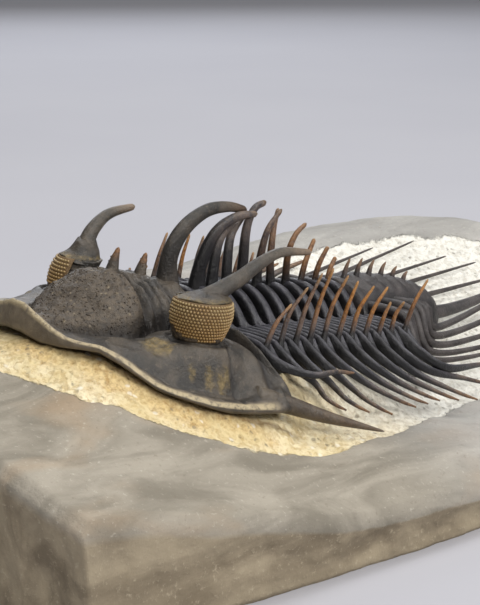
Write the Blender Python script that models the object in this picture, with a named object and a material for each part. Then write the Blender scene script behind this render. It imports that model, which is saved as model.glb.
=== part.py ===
"""A spiny Devonian trilobite on its block of limestone.

The animal is drawn in millimetres in its own frame: X runs from the head to the tail, Y to the
animal's right, Z up from its back, with the middle of the neck near the origin. An empty then
tilts and lifts it on to the stone, whose flat underside is world Z = 0.
"""

import math

import bmesh
import bpy
import numpy as np
from mathutils import Euler, Matrix, Vector

MM = 0.001
GAP = 0.32                      # clearance between neighbouring pieces
SHIELD_GAP = 0.5                # clearance between a shield and the stone
LEFT = -1                       # the sign of Y on the animal's left
RIGHT = 1

# The block of stone, about the animal's origin
STONE_X = (-37.0, 64.0)
STONE_Y = (-27.5, 29.0)
STONE_DEPTH = 12.0              # from the animal's origin down to the cut base
HEAD_UP = 5.97                  # degrees that the head end is raised
RIGHT_UP = 6.46                 # degrees that the right side is raised
STONE_COLUMNS = 33
STONE_ROWS = 23

# The head shield
HEAD_LENGTH = 18.4
HEAD_HALF_WIDTH = 15.8
HEAD_REAR = -2.5

# The body
SEGMENTS = 11
FIRST_RING = -1.3
PITCH = 2.05
RING_HALF_WIDTH = 4.8
FLANK_STATIONS = 6

# The tail shield
TAIL_FRONT = 20.45
TAIL_LENGTH = 17.4
TAIL_HALF_WIDTH = 11.2
TAIL_RIBS = 5
RIB = 0.75                      # radius of a tail rib where it starts

# Height of the stone's surface at chosen places, (x, y, z): the mound under the animal,
# the cleared ground round it, then the untouched rock out to the block's edges.
MOUND = [
    (-15, 0, 4.5), (-9, 0, 4.4), (-3, 0, 4.4), (6, 0, 4.5), (15, 0, 4.5), (24, 0, 4.6),
    (31, 0, 4.2), (36, 0, 2.8), (-9, -9, 3.6), (-9, 9, 3.6), (0, -9.6, 4.0), (0, 9.6, 4.2),
    (9, -9.4, 4.0), (9, 9.4, 4.2), (18, -8.8, 3.9), (18, 8.8, 4.2), (26, -5.5, 3.0),
    (26, 5.5, 3.6), (32, -3, 2.4), (32, 3, 3.4),
]
SKIRT = [
    (-20.8, 0, 4.6), (-19.5, -6.2, 4.4), (-19.5, 6.2, 4.4), (-18.0, -9.0, 4.0), (-18.0, 9.0, 4.0),
    (-16.2, -11.0, 2.8), (-16.2, 11.0, 2.8), (-13.4, -13.1, 1.6), (-13.4, 13.1, 1.6),
    (-8.8, -15.0, 0.6), (-8.8, 15.0, 0.8), (-3.0, -15.6, -0.3), (-3.0, 15.6, 0.6),
    (0, -15.6, -0.8), (0, 15.6, 0.6), (9, -14.6, -1.0), (9, 14.6, 0.8), (18, -13.6, -0.9), (18, 13.6, 1.8),
    (27, -10.5, -0.6), (27, 10.5, 3.0), (34, -5.0, 0.8), (34, 6.0, 3.6), (39, 0, 2.6),
]
GROUND = [
    (-25.4, -4, 2.9), (-23, -9, 2.3), (-20, -14, 1.0), (-14.3, -17, -0.4), (-4, -18.8, -1.8),
    (3, -20, -1.5), (9, -20.5, -1.3), (17, -18, -1.0), (27, -15, -0.9), (36, -10, -0.4),
    (45, -6, 1.6), (46, 0, 3.2), (50, 8, 5.6), (46, 15, 7.0), (36, 15, 5.4), (28, 16, 4.2),
    (16, 17, 3.0), (4, 18, 1.6), (-8, 18, 1.2), (-18, 14, 1.8), (-25, 6, 2.8), (-26, 0, 3.0),
]
ROCK = [
    (-34, -10, 0.8), (-30, -20, -1.2), (-16, -26, -3.6), (2, -28, -4.6), (20, -27, -3.8),
    (38, -22, -2.6), (56, -16, -0.5), (60, 0, 4.0), (61, 13, 9.6), (52, 18, 9.0), (40, 18.5, 7.4),
    (30, 18.5, 5.8), (15, 19, 3.8), (-3, 19, 1.8), (-18, 17, 1.4), (-30, 8, 1.0),
    (-28, 22, -2.2), (-12, 29, -3.4), (5, 29, -2.0), (20, 29, 0.4), (36, 29, 3.4), (50, 29, 5.6),
    (64, 24, 7.0),
]

# Ridge of each backbone spine, (x, z) from its root to its tip, then how far it leans to Y
BACK_SPINES = {
    2: ([(0.75, 7.6), (0.6, 10.2), (1.5, 13.4), (3.6, 15.0), (6.4, 15.3)], -0.9, 0.56),
    3: ([(2.8, 7.6), (2.7, 10.0), (3.2, 12.6), (5.0, 14.4)], 0.4, 0.46),
    4: ([(4.85, 7.6), (4.6, 10.4), (5.0, 12.9), (6.6, 14.6)], 0.9, 0.42),
    5: ([(6.9, 7.6), (6.5, 10.5), (6.3, 13.6), (7.1, 15.9), (8.3, 16.3)], 0.0, 0.5),
    6: ([(8.95, 7.6), (8.7, 10.2), (8.9, 13.4), (10.2, 15.7)], -0.5, 0.48),
    7: ([(11.0, 7.6), (10.5, 10.2), (10.6, 13.2), (11.2, 15.4)], 0.7, 0.42),
    8: ([(13.05, 7.6), (12.6, 10.8), (13.1, 12.8), (14.3, 13.9)], -0.3, 0.4),
    9: ([(15.1, 7.5), (15.6, 10.0), (16.6, 12.2)], 0.3, 0.36),
    10: ([(17.15, 7.4), (17.4, 9.6), (18.2, 11.5)], -0.2, 0.34),
    11: ([(19.2, 7.3), (19.4, 9.0), (20.1, 10.3)], 0.2, 0.32),
}
NECK_SPINE = ([(-3.4, 8.2), (-3.7, 11.2), (-2.6, 13.8), (0.0, 15.6), (2.8, 16.0), (5.2, 15.6)],
              -0.4, 0.72)

# Upright spines on the fulcrum: (lean back, height), first to last segment
UPRIGHTS = {
    LEFT: [(2.2, 3.6), (2.1, 5.0), (1.8, 6.2), (1.3, 6.6), (1.6, 5.8), (1.2, 5.2),
           (1.7, 4.6), (1.8, 4.4), (0.7, 2.9), (0.8, 2.8), (1.9, 4.8)],
    RIGHT: [(0.5, 0.9), (0.5, 1.0), (0.5, 1.2), (0.6, 1.4), (1.4, 4.6), (0.9, 4.4),
            (0.9, 4.2), (1.2, 3.8), (0.8, 3.0), (0.8, 2.8), (0.6, 2.4)],
}


def rounded(value, low, high):
    """A smooth step from 0 at low to 1 at high."""
    t = min(max((value - low) / (high - low), 0.0), 1.0)
    return t * t * (3.0 - 2.0 * t)


def along(knots, value):
    """A value read from (place, value) knots, joined by straight lines."""
    return float(np.interp(value, [k[0] for k in knots], [k[1] for k in knots]))


def curve_through(knots, count):
    """Points spread evenly along a smooth curve through the knots."""
    knots = [Vector(k) for k in knots]
    ends = [2 * knots[0] - knots[1]] + knots + [2 * knots[-1] - knots[-2]]
    fine = []
    for a, b, c, d in zip(ends, ends[1:], ends[2:], ends[3:]):
        for step in range(12):
            t = step / 12
            fine.append(0.5 * (2 * b + (c - a) * t + (2 * a - 5 * b + 4 * c - d) * t * t
                               + (3 * b - a - 3 * c + d) * t * t * t))
    fine.append(knots[-1])
    run = np.concatenate([[0.0], np.cumsum([(q - p).length for p, q in zip(fine, fine[1:])])])
    places = np.linspace(0.0, run[-1], count)
    return [Vector([np.interp(s, run, [p[axis] for p in fine]) for axis in range(3)])
            for s in places]


# The stone's surface is a thin plate bent through the listed heights

def fit_plate(points):
    """Weights of a thin plate through (x, y, z) points."""
    places = np.array([p[:2] for p in points], float)
    heights = np.array([p[2] for p in points], float)
    count = len(points)
    table = np.zeros((count + 3, count + 3))
    table[:count, :count] = plate_kernel(places, places)
    table[:count, count] = table[count, :count] = 1.0
    table[:count, count + 1:] = places
    table[count + 1:, :count] = places.T
    table[range(count), range(count)] += 0.25
    return places, np.linalg.solve(table, np.concatenate([heights, np.zeros(3)]))


def plate_kernel(a, b):
    square = ((a[:, None, :] - b[None, :, :]) ** 2).sum(axis=2)
    return 0.5 * square * np.log(square + 1e-9)


PLATE_PLACES, PLATE_WEIGHTS = fit_plate(MOUND + SKIRT + GROUND + ROCK)


def bed(x, y):
    """Height of the stone's surface, in the animal's frame."""
    kernel = plate_kernel(np.array([[x, y]]), PLATE_PLACES)[0]
    return float(kernel @ PLATE_WEIGHTS[:-3] + PLATE_WEIGHTS[-3:] @ (1.0, x, y))


# Making solids

def material(name, colour, roughness):
    made = bpy.data.materials.new(name)
    made.use_nodes = True
    shader = made.node_tree.nodes["Principled BSDF"]
    shader.inputs["Base Color"].default_value = (*colour, 1.0)
    shader.inputs["Roughness"].default_value = roughness
    shader.inputs["Metallic"].default_value = 0.0
    return made


def solid(name, points, faces, parent=None):
    """A closed mesh object from points in millimetres."""
    mesh = bpy.data.meshes.new(name)
    mesh.from_pydata([Vector(p) * MM for p in points], [], faces)
    shape = bmesh.new()
    shape.from_mesh(mesh)
    bmesh.ops.recalc_face_normals(shape, faces=shape.faces)
    shape.to_mesh(mesh)
    shape.free()
    made = bpy.data.objects.new(name, mesh)
    bpy.context.collection.objects.link(made)
    made.parent = parent
    return made


def loft(rings):
    """Points and faces of a skin over equal rings, closed at both ends."""
    sides = len(rings[0])
    points = [p for ring in rings for p in ring]
    faces = [tuple(range(sides)), tuple((len(rings) - 1) * sides + k for k in range(sides))]
    for row in range(len(rings) - 1):
        for side in range(sides):
            after = (side + 1) % sides
            faces.append((row * sides + side, row * sides + after,
                          (row + 1) * sides + after, (row + 1) * sides + side))
    return points, faces


def spine(knots, root, tip, count=7, sides=5):
    """A tapering, curved spine through the knots."""
    path = curve_through(knots, count)
    aside = Vector((0.1, 1.0, 0.0))
    rings = []
    for place, point in enumerate(path):
        ahead = (path[min(place + 1, count - 1)] - path[max(place - 1, 0)]).normalized()
        aside = (aside - ahead * aside.dot(ahead)).normalized()
        up = ahead.cross(aside)
        radius = root + (tip - root) * (place / (count - 1)) ** 1.3
        rings.append([point + radius * (aside * math.cos(a) + up * math.sin(a))
                      for a in (math.tau * k / sides for k in range(sides))])
    return loft(rings)


def unite(body, shapes):
    """Fuse every (points, faces) shape into the body."""
    group = bpy.data.collections.new("fused")
    for points, faces in shapes:
        extra = solid("extra", points, faces, body.parent)
        group.objects.link(extra)
    fuse = body.modifiers.new("fuse", "BOOLEAN")
    fuse.operation = "UNION"
    fuse.solver = "EXACT"
    fuse.operand_type = "COLLECTION"
    fuse.collection = group
    graph = bpy.context.evaluated_depsgraph_get()
    fused = bpy.data.meshes.new_from_object(body.evaluated_get(graph))
    body.modifiers.clear()
    body.data = fused
    for extra in list(group.objects):
        bpy.data.objects.remove(extra)
    bpy.data.collections.remove(group)


def finish(made, surface):
    """Give a solid its material and smooth shading with crisp edges."""
    made.data.materials.clear()
    made.data.materials.append(surface)
    made.data.shade_smooth()
    made.data.set_sharp_from_angle(angle=math.radians(40))


def dome(name, outline, centre, rings, top, under, parent):
    """A shell over an outline: rings shrink towards the centre, above and below."""
    count = len(outline)
    points = []
    for height, shares in ((top, rings), (under, rings[::2])):
        for share in shares:
            for x, y in outline:
                px = centre[0] + (x - centre[0]) * share
                py = centre[1] + (y - centre[1]) * share
                points.append((px, py, height(px, py, share)))
        points.append((*centre, height(*centre, 0.0)))
    faces = []
    first_under = len(rings) * count + 1
    for start, rows in ((0, len(rings)), (first_under, len(rings[::2]))):
        for row in range(rows - 1):
            for k in range(count):
                a = start + row * count
                after = (k + 1) % count
                faces.append((a + k, a + after, a + count + after, a + count + k))
        inner = start + (rows - 1) * count
        for k in range(count):
            faces.append((inner + k, inner + (k + 1) % count, start + rows * count))
    for k in range(count):
        faces.append((k, (k + 1) % count, first_under + (k + 1) % count, first_under + k))
    return solid(name, points, faces, parent)


# The stone

def stone(turn):
    """The block: the shaped top, rough sides and a flat sawn base."""
    base = -STONE_DEPTH
    middle_x = sum(STONE_X) / 2
    middle_y = sum(STONE_Y) / 2
    half_x = (STONE_X[1] - STONE_X[0]) / 2
    half_y = (STONE_Y[1] - STONE_Y[0]) / 2

    def plan(u, v):
        """A place in the rounded outline, u and v from -1 to 1."""
        x = middle_x + half_x * u * (1 - 0.10 * v * v * (1 - 0.3 * v * u))
        y = middle_y + half_y * v * (1 - (0.22 - 0.10 * u * v) * u * u)
        return x, y

    def top(u, v):
        x, y = plan(u, v)
        edge = max(abs(u), abs(v))
        z = (bed(x, y) if edge < 1 else bed(x, y) - 1.2)
        return x, y, z

    us = np.linspace(-1, 1, STONE_COLUMNS)
    vs = np.linspace(-1, 1, STONE_ROWS)
    points = []
    for v in vs:
        for u in us:
            points.append(turn @ Vector(top(u, v)))
    faces = []
    for row in range(STONE_ROWS - 1):
        for column in range(STONE_COLUMNS - 1):
            a = row * STONE_COLUMNS + column
            faces.append((a, a + 1, a + STONE_COLUMNS + 1, a + STONE_COLUMNS))
    border = list(range(STONE_COLUMNS))
    border += [(row + 1) * STONE_COLUMNS - 1 for row in range(1, STONE_ROWS)]
    border += [(STONE_ROWS - 1) * STONE_COLUMNS + c for c in range(STONE_COLUMNS - 2, -1, -1)]
    border += [row * STONE_COLUMNS for row in range(STONE_ROWS - 2, 0, -1)]
    last = border
    centre = turn @ Vector((middle_x, middle_y, 0.0))
    for share, spread in ((0.5, 1.0), (1.0, 0.97)):
        start = len(points)
        for place in border:
            rim = points[place]
            z = rim.z + (base - rim.z) * share
            points.append(Vector((centre.x + (rim.x - centre.x) * spread,
                                  centre.y + (rim.y - centre.y) * spread, z)))
        row = list(range(start, start + len(border)))
        for k in range(len(border)):
            after = (k + 1) % len(border)
            faces.append((last[k], last[after], row[after], row[k]))
        last = row
    faces.append(tuple(last))
    return points, faces


# The head

def rim_height(y):
    """Upper edge of the head's rim: a tall lip in front, low at the cheeks."""
    return along([(0.8, 7.95), (2.8, 7.15), (3.9, 6.6), (5.3, 6.1), (8.1, 6.0), (8.9, 5.75),
                  (10.2, 4.95), (11.5, 3.85), (12.4, 3.3), (13.3, 2.85), (14.3, 2.4), (15.8, 1.9)],
                 abs(y))


def rim_under(y):
    """Lower edge of the rim."""
    return along([(0.8, 5.45), (3.1, 5.05), (5.0, 5.15), (6.6, 5.35), (8.1, 5.45), (9.6, 4.75),
                  (10.9, 3.9), (12.1, 2.95), (13.1, 2.5), (14.0, 2.05), (15.0, 1.4), (15.8, 1.2)],
                 abs(y))


def head_edge(x, y):
    """Height of the head's edge all round: the rim in front, the neck border behind."""
    rear = along([(4.6, 6.3), (8.8, 6.5), (11.7, 5.5), (13.1, 4.4), (14.4, 3.3), (15.8, 1.8)], abs(y))
    share = rounded(x, -7.5, -3.0)
    return rim_height(y) * (1 - share) + rear * share


def glabella(x, y):
    """Height of the swollen middle of the head, or nothing outside it."""
    half = along([(-19.0, 0.4), (-18.0, 2.6), (-16.5, 4.4), (-15, 5.3), (-13, 6.2), (-11.5, 6.0),
                  (-9.5, 5.4), (-7, 4.9), (-5, 4.6), (-2, 4.6)], x)
    crest = along([(-19.0, 6.6), (-18.3, 7.6), (-16.5, 9.4), (-14.8, 10.5), (-13, 10.8), (-10, 10.4),
                   (-6.6, 9.8), (-5.4, 9.0), (-4.4, 9.2), (-3.3, 9.1), (-2.4, 8.4)], x)
    if abs(y) >= half:
        return 0.0
    return 5.6 + (crest - 5.6) * (1 - (y / half) ** 2) ** 0.5


def head_top(x, y, share):
    """The head's upper surface; share is 0 in the middle and 1 at the rim."""
    edge = head_edge(x, y)
    low = min(edge, 5.5)
    cheek = low + (5.9 - low) * rounded(1 - share, 0.10, 0.42)
    cheek += (edge - low) * rounded(share, 0.90, 0.98)
    cheek -= 0.5 * math.exp(-((share - 0.88) / 0.05) ** 2)
    return max(cheek, glabella(x, y), head_under(x, y, share) + 0.5)


def head_under(x, y, share):
    """The head's lower surface: the rim overhangs, the rest follows the stone."""
    seat = bed(x, y) + SHIELD_GAP
    if share > 0.95 and (x < -6 or abs(y) > 12.5):
        return max(rim_under(y), seat)
    return seat


def head_outline():
    """Rim of the head: half an oval in front, nearly straight behind."""
    points = []
    for step in range(25):
        angle = math.pi * step / 24
        x = HEAD_REAR - HEAD_LENGTH * math.sin(angle) ** 0.9
        points.append((x, HEAD_HALF_WIDTH * math.cos(angle)))
    across = [(-1.6, -15.0), (-2.0, -13.5), (HEAD_REAR, -11.8), (HEAD_REAR, -9.0), (HEAD_REAR, -6.2),
              (HEAD_REAR, -4.6), (HEAD_REAR, -2.4)]
    points += across + [(HEAD_REAR, 0.0)] + [(x, -y) for x, y in reversed(across)]
    return points


# Each eye: the centre of its tower, the foot and top of its lenses, and its relative width
EYES = {LEFT: ((-7.9, -8.9), 6.3, 9.8, 1.0), RIGHT: ((-7.4, 8.5), 6.25, 8.4, 0.8)}
EYE_STRETCH = 1.1


def eye_point(side, radius, angle, z, inward=0.0):
    """A place on an oval about an eye's centre; the angle opens away from the midline."""
    centre, foot, top, width = EYES[side]
    return Vector((centre[0] + EYE_STRETCH * width * radius * math.cos(angle),
                   centre[1] + side * (width * radius * math.sin(angle) - inward), z))


def eye_tower(side):
    """The stalk and roof that carry the lenses."""
    centre, foot, top, width = EYES[side]
    levels = [(2.0, foot - 1.3, 0.6), (1.65, foot - 0.1, 0.3), (1.6, top + 0.1, 0.2),
              (2.75, top + 0.45, 0.2), (2.5, top + 0.8, 0.4), (1.4, top + 1.05, 0.6)]
    return loft([[eye_point(side, radius, math.tau * k / 12, z, inward) for k in range(12)]
                 for radius, z, inward in levels])


def eye(side, tilt):
    """The lens surface: a curved wall round the outer side of the tower."""
    centre, foot, top, width = EYES[side]
    rise = top - foot
    profile = [(2.05, foot), (2.8, foot), (3.05, foot + 0.32 * rise), (2.95, foot + 0.7 * rise),
               (2.65, top), (2.05, top)]
    rings = []
    for step in range(13):
        angle = math.radians(-8 + 196 * step / 12)
        rings.append([eye_point(side, radius, angle, z) for radius, z in profile])
    made = solid("eye_left" if side == LEFT else "eye_right", *loft(rings), tilt)
    finish(made, material(made.name, (0.33, 0.23, 0.11), 0.35))
    return made


def horn(side):
    """The long horn that sweeps back from the roof of an eye."""
    if side == LEFT:
        knots = [(-8.2, -8.9, 10.9), (-6.0, -9.2, 11.0), (-4.0, -9.4, 11.7), (-2.0, -9.5, 12.8),
                 (0.6, -9.5, 13.75), (4.6, -9.5, 13.7)]
    else:
        knots = [(-7.1, 8.4, 9.2), (-6.1, 8.7, 10.2), (-4.4, 9.2, 11.8), (-2.2, 9.5, 13.0),
                 (0.7, 9.3, 13.7)]
    return spine(knots, 0.85, 0.22, 8, 6)


CHEEK_SPINES = [
    [(-5.0, -14.0, 2.2), (-2.2, -15.2, 1.7), (1.5, -16.8, 0.7), (7.2, -19.0, -0.5)],
    [(-5.0, 14.0, 2.5), (-2.2, 15.2, 2.5), (1.5, 16.4, 2.6), (6.0, 18.0, 3.2)],
]


def head(tilt):
    rings = [1.0, 0.965, 0.92, 0.86, 0.76, 0.62, 0.45, 0.24]
    made = dome("cephalon", head_outline(), (-9.5, 0.0), rings, head_top, head_under, tilt)
    shapes = [eye_tower(LEFT), eye_tower(RIGHT), horn(LEFT), horn(RIGHT)]
    ridge, lean, root = NECK_SPINE
    shapes.append(back_spine(ridge, lean, root, 9))
    for x, z in ((-10.4, 10.2), (-6.9, 9.6)):
        shapes.append(spine([(x, 0, z - 0.6), (x + 0.2, 0, z + 0.8), (x + 0.5, 0, z + 2.0)],
                            0.75, 0.15, 3))
    for knots in CHEEK_SPINES:
        shapes.append(spine(knots, 0.95, 0.15, 7, 6))
    unite(made, shapes)
    finish(made, material("cephalon", (0.10, 0.10, 0.095), 0.5))
    return made


# The body's segments

def back_spine(ridge, lean, root, count=6):
    """A spine on the ridge of the back; it leans aside as it rises."""
    low = ridge[0][1]
    rise = ridge[-1][1] - low
    knots = [(x, lean * ((z - low) / rise) ** 1.5 if z > low else 0.0, z) for x, z in ridge]
    return spine(knots, root, 0.16, count, 5)


def fulcrum(index):
    """Distance of a segment's fulcrum from the midline; index counts from 0."""
    return 11.3 - 0.085 * index


def lateral_tip(index, side):
    """Where a segment's side spine ends."""
    ring = FIRST_RING + PITCH * index
    if side == LEFT:
        reach = along([(0, 7.9), (1, 4.2), (3, 5.0), (4, 7.6), (8, 8.6), (9, 13.0), (10, 17.0)], index)
        y = along([(0, 15.0), (1, 16.2), (3, 17.6), (4, 16.6), (6, 15.8), (8, 16.8), (9, 13.8),
                   (10, 11.6)], index)
        z = along([(0, 3.9), (1, 0.9), (3, 0.5), (8, 0.5), (9, 0.6), (10, 1.6)], index)
    else:
        reach = along([(0, 5.0), (4, 8.0), (8, 10.5), (10, 14.0)], index)
        y = along([(0, 16.0), (4, 16.6), (8, 16.0), (10, 14.6)], index)
        z = along([(0, 2.6), (4, 3.7), (8, 5.2), (10, 6.2)], index)
    return Vector((ring + reach, side * y, z))


def side_route(index, side):
    """Knots of the flank beyond the fulcrum, down and back to the side spine's tip."""
    ring = FIRST_RING + PITCH * index
    edge = fulcrum(index)
    tip = lateral_tip(index, side)
    out = Vector((ring, side * edge, 5.9))
    if index == 0 and side == LEFT:
        return [out, Vector((-0.7, -13.0, 4.9)), Vector((1.2, -14.7, 4.3)),
                Vector((3.9, -15.1, 4.4)), tip]
    back = 0.45 if index == SEGMENTS - 1 else 0.0
    return [out, Vector((ring + 0.6 + back, side * (edge + 1.8), 4.4)),
            Vector((ring + 1.7 + 0.1 * min(tip.x - ring, 12) + back, side * (edge + 3.0),
                    2.9 + 0.15 * tip.z)),
            out.lerp(tip, 0.66) + Vector((-0.2, side * 0.8, -0.7)), tip]


def segment_path(index, side):
    """Stations from the midline out to the tip: (point, half length, thickness, on the stone)."""
    ring = FIRST_RING + PITCH * index
    half = (PITCH - GAP) / 2
    edge = fulcrum(index)
    shrink = 1 - 0.012 * index
    wide = RING_HALF_WIDTH * (1 - 0.015 * index)
    stations = []
    for share, z in ((0.0, 8.5), (0.4, 8.15), (0.85, 6.7)):
        stations.append(((ring, side * wide * share, 6.2 + (z - 6.2) * shrink), half, 0.0, True))
    for y, z in ((wide + 0.5, 5.9), (edge - 2.4, 6.2), (edge + 0.1, 5.9)):
        stations.append(((ring, side * y, z), half, 0.0, True))
    path = curve_through(side_route(index, side), FLANK_STATIONS)
    for place, point in enumerate(path[1:], 1):
        share = place / (FLANK_STATIONS - 1)
        width = along([(0, half), (0.2, 0.55 - 0.02 * index), (0.4, 0.38), (1, 0.13)], share)
        depth = along([(0, 1.1), (0.2, 0.9), (0.4, 0.75), (1, 0.24)], share)
        stations.append((tuple(point), width, depth, False))
    return stations


SECTION = [(-1.0, -1.0), (-1.0, -0.4), (-0.5, 0.0), (0.5, 0.0), (1.0, -0.4), (1.0, -1.0)]


def segment(index, tilt):
    """One ring with its two flanks, swept from one side spine's tip to the other's."""
    left = segment_path(index, LEFT)
    right = segment_path(index, RIGHT)
    stations = left[:0:-1] + right
    points = [Vector(s[0]) for s in stations]
    rings = []
    for place, (point, half, depth, seated) in enumerate(stations):
        ahead = points[min(place + 1, len(points) - 1)] - points[max(place - 1, 0)]
        width = Vector((ahead.y, -ahead.x, 0)).normalized()
        up = width.cross(ahead).normalized()
        ring = []
        for across, down in SECTION:
            spot = Vector(point) + width * across * half + up * down * depth
            if seated:
                spot.x = point[0] + across * half
                spot.y = point[1]
                spot.z = point[2] + down * (point[2] - bed(spot.x, spot.y) - GAP)
            ring.append(spot)
        rings.append(ring)
    name = "thorax_segment_%02d" % (index + 1)
    made = solid(name, *loft(rings), tilt)
    shapes = []
    if index + 1 in BACK_SPINES:
        shapes.append(back_spine(*BACK_SPINES[index + 1]))
    ring_x = FIRST_RING + PITCH * index
    for side in (LEFT, RIGHT):
        lean, height = UPRIGHTS[side][index]
        y = side * (fulcrum(index) - 0.2)
        knots = [(ring_x - 0.1, y, 5.3), (ring_x + 0.25 * lean, y + side * 0.1, 5.9 + 0.5 * height),
                 (ring_x + lean, y + side * 0.3, 5.9 + height)]
        shapes.append(spine(knots, 0.42, 0.12, 4, 5))
    unite(made, shapes)
    finish(made, material(name, (0.09, 0.092, 0.10), 0.42))
    return made


# The tail

def tail_half(x):
    """Half width of the tail shield."""
    share = min(max((x - TAIL_FRONT) / TAIL_LENGTH, 0.0), 1.0)
    return TAIL_HALF_WIDTH * (1 - share ** 1.3)


def tail_top(x, y, share):
    """The tail's upper surface: a tapering axis between two sloping flanks."""
    crest = along([(20, 8.0), (24, 8.4), (28, 8.2), (32, 7.4), (35, 6.4), (36.5, 5.2), (38, 4.0)], x)
    half = along([(20, 4.2), (35, 1.9), (38, 0.8)], x)
    edge = along([(20, 2.6), (28, 2.6), (34, 3.0), (38, 3.6)], x)
    flank = min(edge + (crest - 1.9 - edge) * rounded(1 - share, 0.0, 0.35), crest - 1.6)
    flank = max(flank, tail_under(x, y, share) + 0.5)
    if abs(y) < half:
        return max(flank, crest - 2.0 + 2.0 * (1 - (y / half) ** 2) ** 0.5)
    return flank


def tail_under(x, y, share):
    return bed(x, y) + SHIELD_GAP


def tail_outline():
    points = []
    for side, order in ((LEFT, 1), (RIGHT, -1)):
        xs = [TAIL_FRONT + TAIL_LENGTH * k / 7 for k in range(7)][::order]
        points += [(x, side * tail_half(x)) for x in xs]
        if side == LEFT:
            points.append((TAIL_FRONT + TAIL_LENGTH, 0.0))
    points += [(TAIL_FRONT, y) for y in (7.0, 4.0, 2.0, 0.0, -2.0, -4.0, -7.0)]
    return points


TAIL_TIPS = {
    LEFT: [(39.5, -9.6, 3.3), (44.0, -8.6, 4.0), (48.5, -6.6, 4.4), (51.5, -4.8, 6.0),
           (53.5, -2.6, 7.6)],
    RIGHT: [(42.5, 13.4, 7.4), (48.5, 12.6, 8.2), (49.5, 8.6, 7.4), (53.0, 7.0, 6.8),
            (54.0, 3.6, 6.4)],
}
TAIL_MEDIAN = (54.5, 0.0, 5.6)


def tail_rib(index, side):
    """A rib of the tail, which runs on past the edge as a long spine."""
    start = TAIL_FRONT + 1.2 + 2.35 * index
    sweep = 1.2 + 0.5 * index
    edge_x = start + sweep
    edge = tail_half(edge_x)
    inner = along([(20, 4.0), (35, 1.7)], start)
    tip = Vector(TAIL_TIPS[side][index])
    rim = Vector((edge_x, side * edge, along([(20, 2.9), (28, 2.9), (34, 3.2)], edge_x)))
    high = tail_top(start + 0.4 * sweep, 0, 0.0) - 2.0
    shoulder = Vector((start + 0.4 * sweep, side * (inner + 0.6 * (edge - inner)), high))
    knots = [(start, side * inner * 0.8, high + 0.1), shoulder, rim,
             rim.lerp(tip, 0.45) + Vector((0, side * 0.8, 0.15 * index - 0.5)), tip]
    knots = [(k[0], k[1], max(k[2], bed(k[0], k[1]) + RIB + SHIELD_GAP)) for k in knots]
    return spine(knots, RIB, 0.15, 8, 5)


def tail(tilt):
    rings = [1.0, 0.9, 0.72, 0.48, 0.22]
    made = dome("pygidium", tail_outline(), (26.5, 0.0), rings, tail_top, tail_under, tilt)
    shapes = [tail_rib(index, side) for index in range(TAIL_RIBS) for side in (LEFT, RIGHT)]
    shapes.append(spine([(34.0, 0, 4.4), (38, 0, 3.9), (45, 0, 5.0), TAIL_MEDIAN], 0.8, 0.15, 7, 5))
    for index in range(6):
        x = TAIL_FRONT + 1.1 + 1.9 * index
        z = tail_top(x, 0, 0.0)
        rise = 2.0 - 0.22 * index
        shapes.append(spine([(x, 0, z - 0.6), (x + 0.2, 0, z + 0.5 * rise), (x + 0.6, 0, z + rise)],
                            0.42, 0.12, 3))
    unite(made, shapes)
    finish(made, material("pygidium", (0.09, 0.092, 0.10), 0.42))
    return made


def build():
    for old in list(bpy.data.objects):
        bpy.data.objects.remove(old)
    turn = Euler((math.radians(RIGHT_UP), math.radians(HEAD_UP), 0.0)).to_matrix()
    points, faces = stone(turn)
    xs = [p.x for p in points]
    ys = [p.y for p in points]
    place = Vector((-(min(xs) + max(xs)) / 2, -(min(ys) + max(ys)) / 2, STONE_DEPTH))
    block = solid("matrix", [p + place for p in points], faces)
    finish(block, material("matrix", (0.55, 0.47, 0.36), 0.9))
    tilt = bpy.data.objects.new("tilt", None)
    bpy.context.collection.objects.link(tilt)
    tilt.matrix_world = Matrix.Translation(place * MM) @ turn.to_4x4()
    bpy.context.view_layer.update()
    head(tilt)
    for side in (LEFT, RIGHT):
        eye(side, tilt)
    for index in range(SEGMENTS):
        segment(index, tilt)
    tail(tilt)


build()
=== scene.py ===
import math

import bmesh
import bpy
import numpy as np
from mathutils import Euler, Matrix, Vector, noise


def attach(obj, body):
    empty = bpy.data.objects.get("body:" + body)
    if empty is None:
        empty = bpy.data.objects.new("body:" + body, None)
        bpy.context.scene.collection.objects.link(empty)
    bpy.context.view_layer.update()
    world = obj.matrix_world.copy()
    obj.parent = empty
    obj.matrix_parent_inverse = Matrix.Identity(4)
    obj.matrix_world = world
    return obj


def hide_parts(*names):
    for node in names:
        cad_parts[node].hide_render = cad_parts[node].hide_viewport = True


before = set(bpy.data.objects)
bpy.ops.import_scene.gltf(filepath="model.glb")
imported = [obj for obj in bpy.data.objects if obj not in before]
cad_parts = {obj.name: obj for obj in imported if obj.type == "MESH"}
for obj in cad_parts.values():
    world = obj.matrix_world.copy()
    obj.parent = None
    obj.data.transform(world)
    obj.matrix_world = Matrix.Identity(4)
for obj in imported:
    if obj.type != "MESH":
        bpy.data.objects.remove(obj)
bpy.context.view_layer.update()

# The block of limestone that the animal was found in. Round the animal the rock is worked down
# to a pale, granular hollow; beyond it the old surface is smooth and grey-brown. The sides are
# broken and the underside is sawn flat. Heights are in millimetres, in the animal's own frame.

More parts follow.
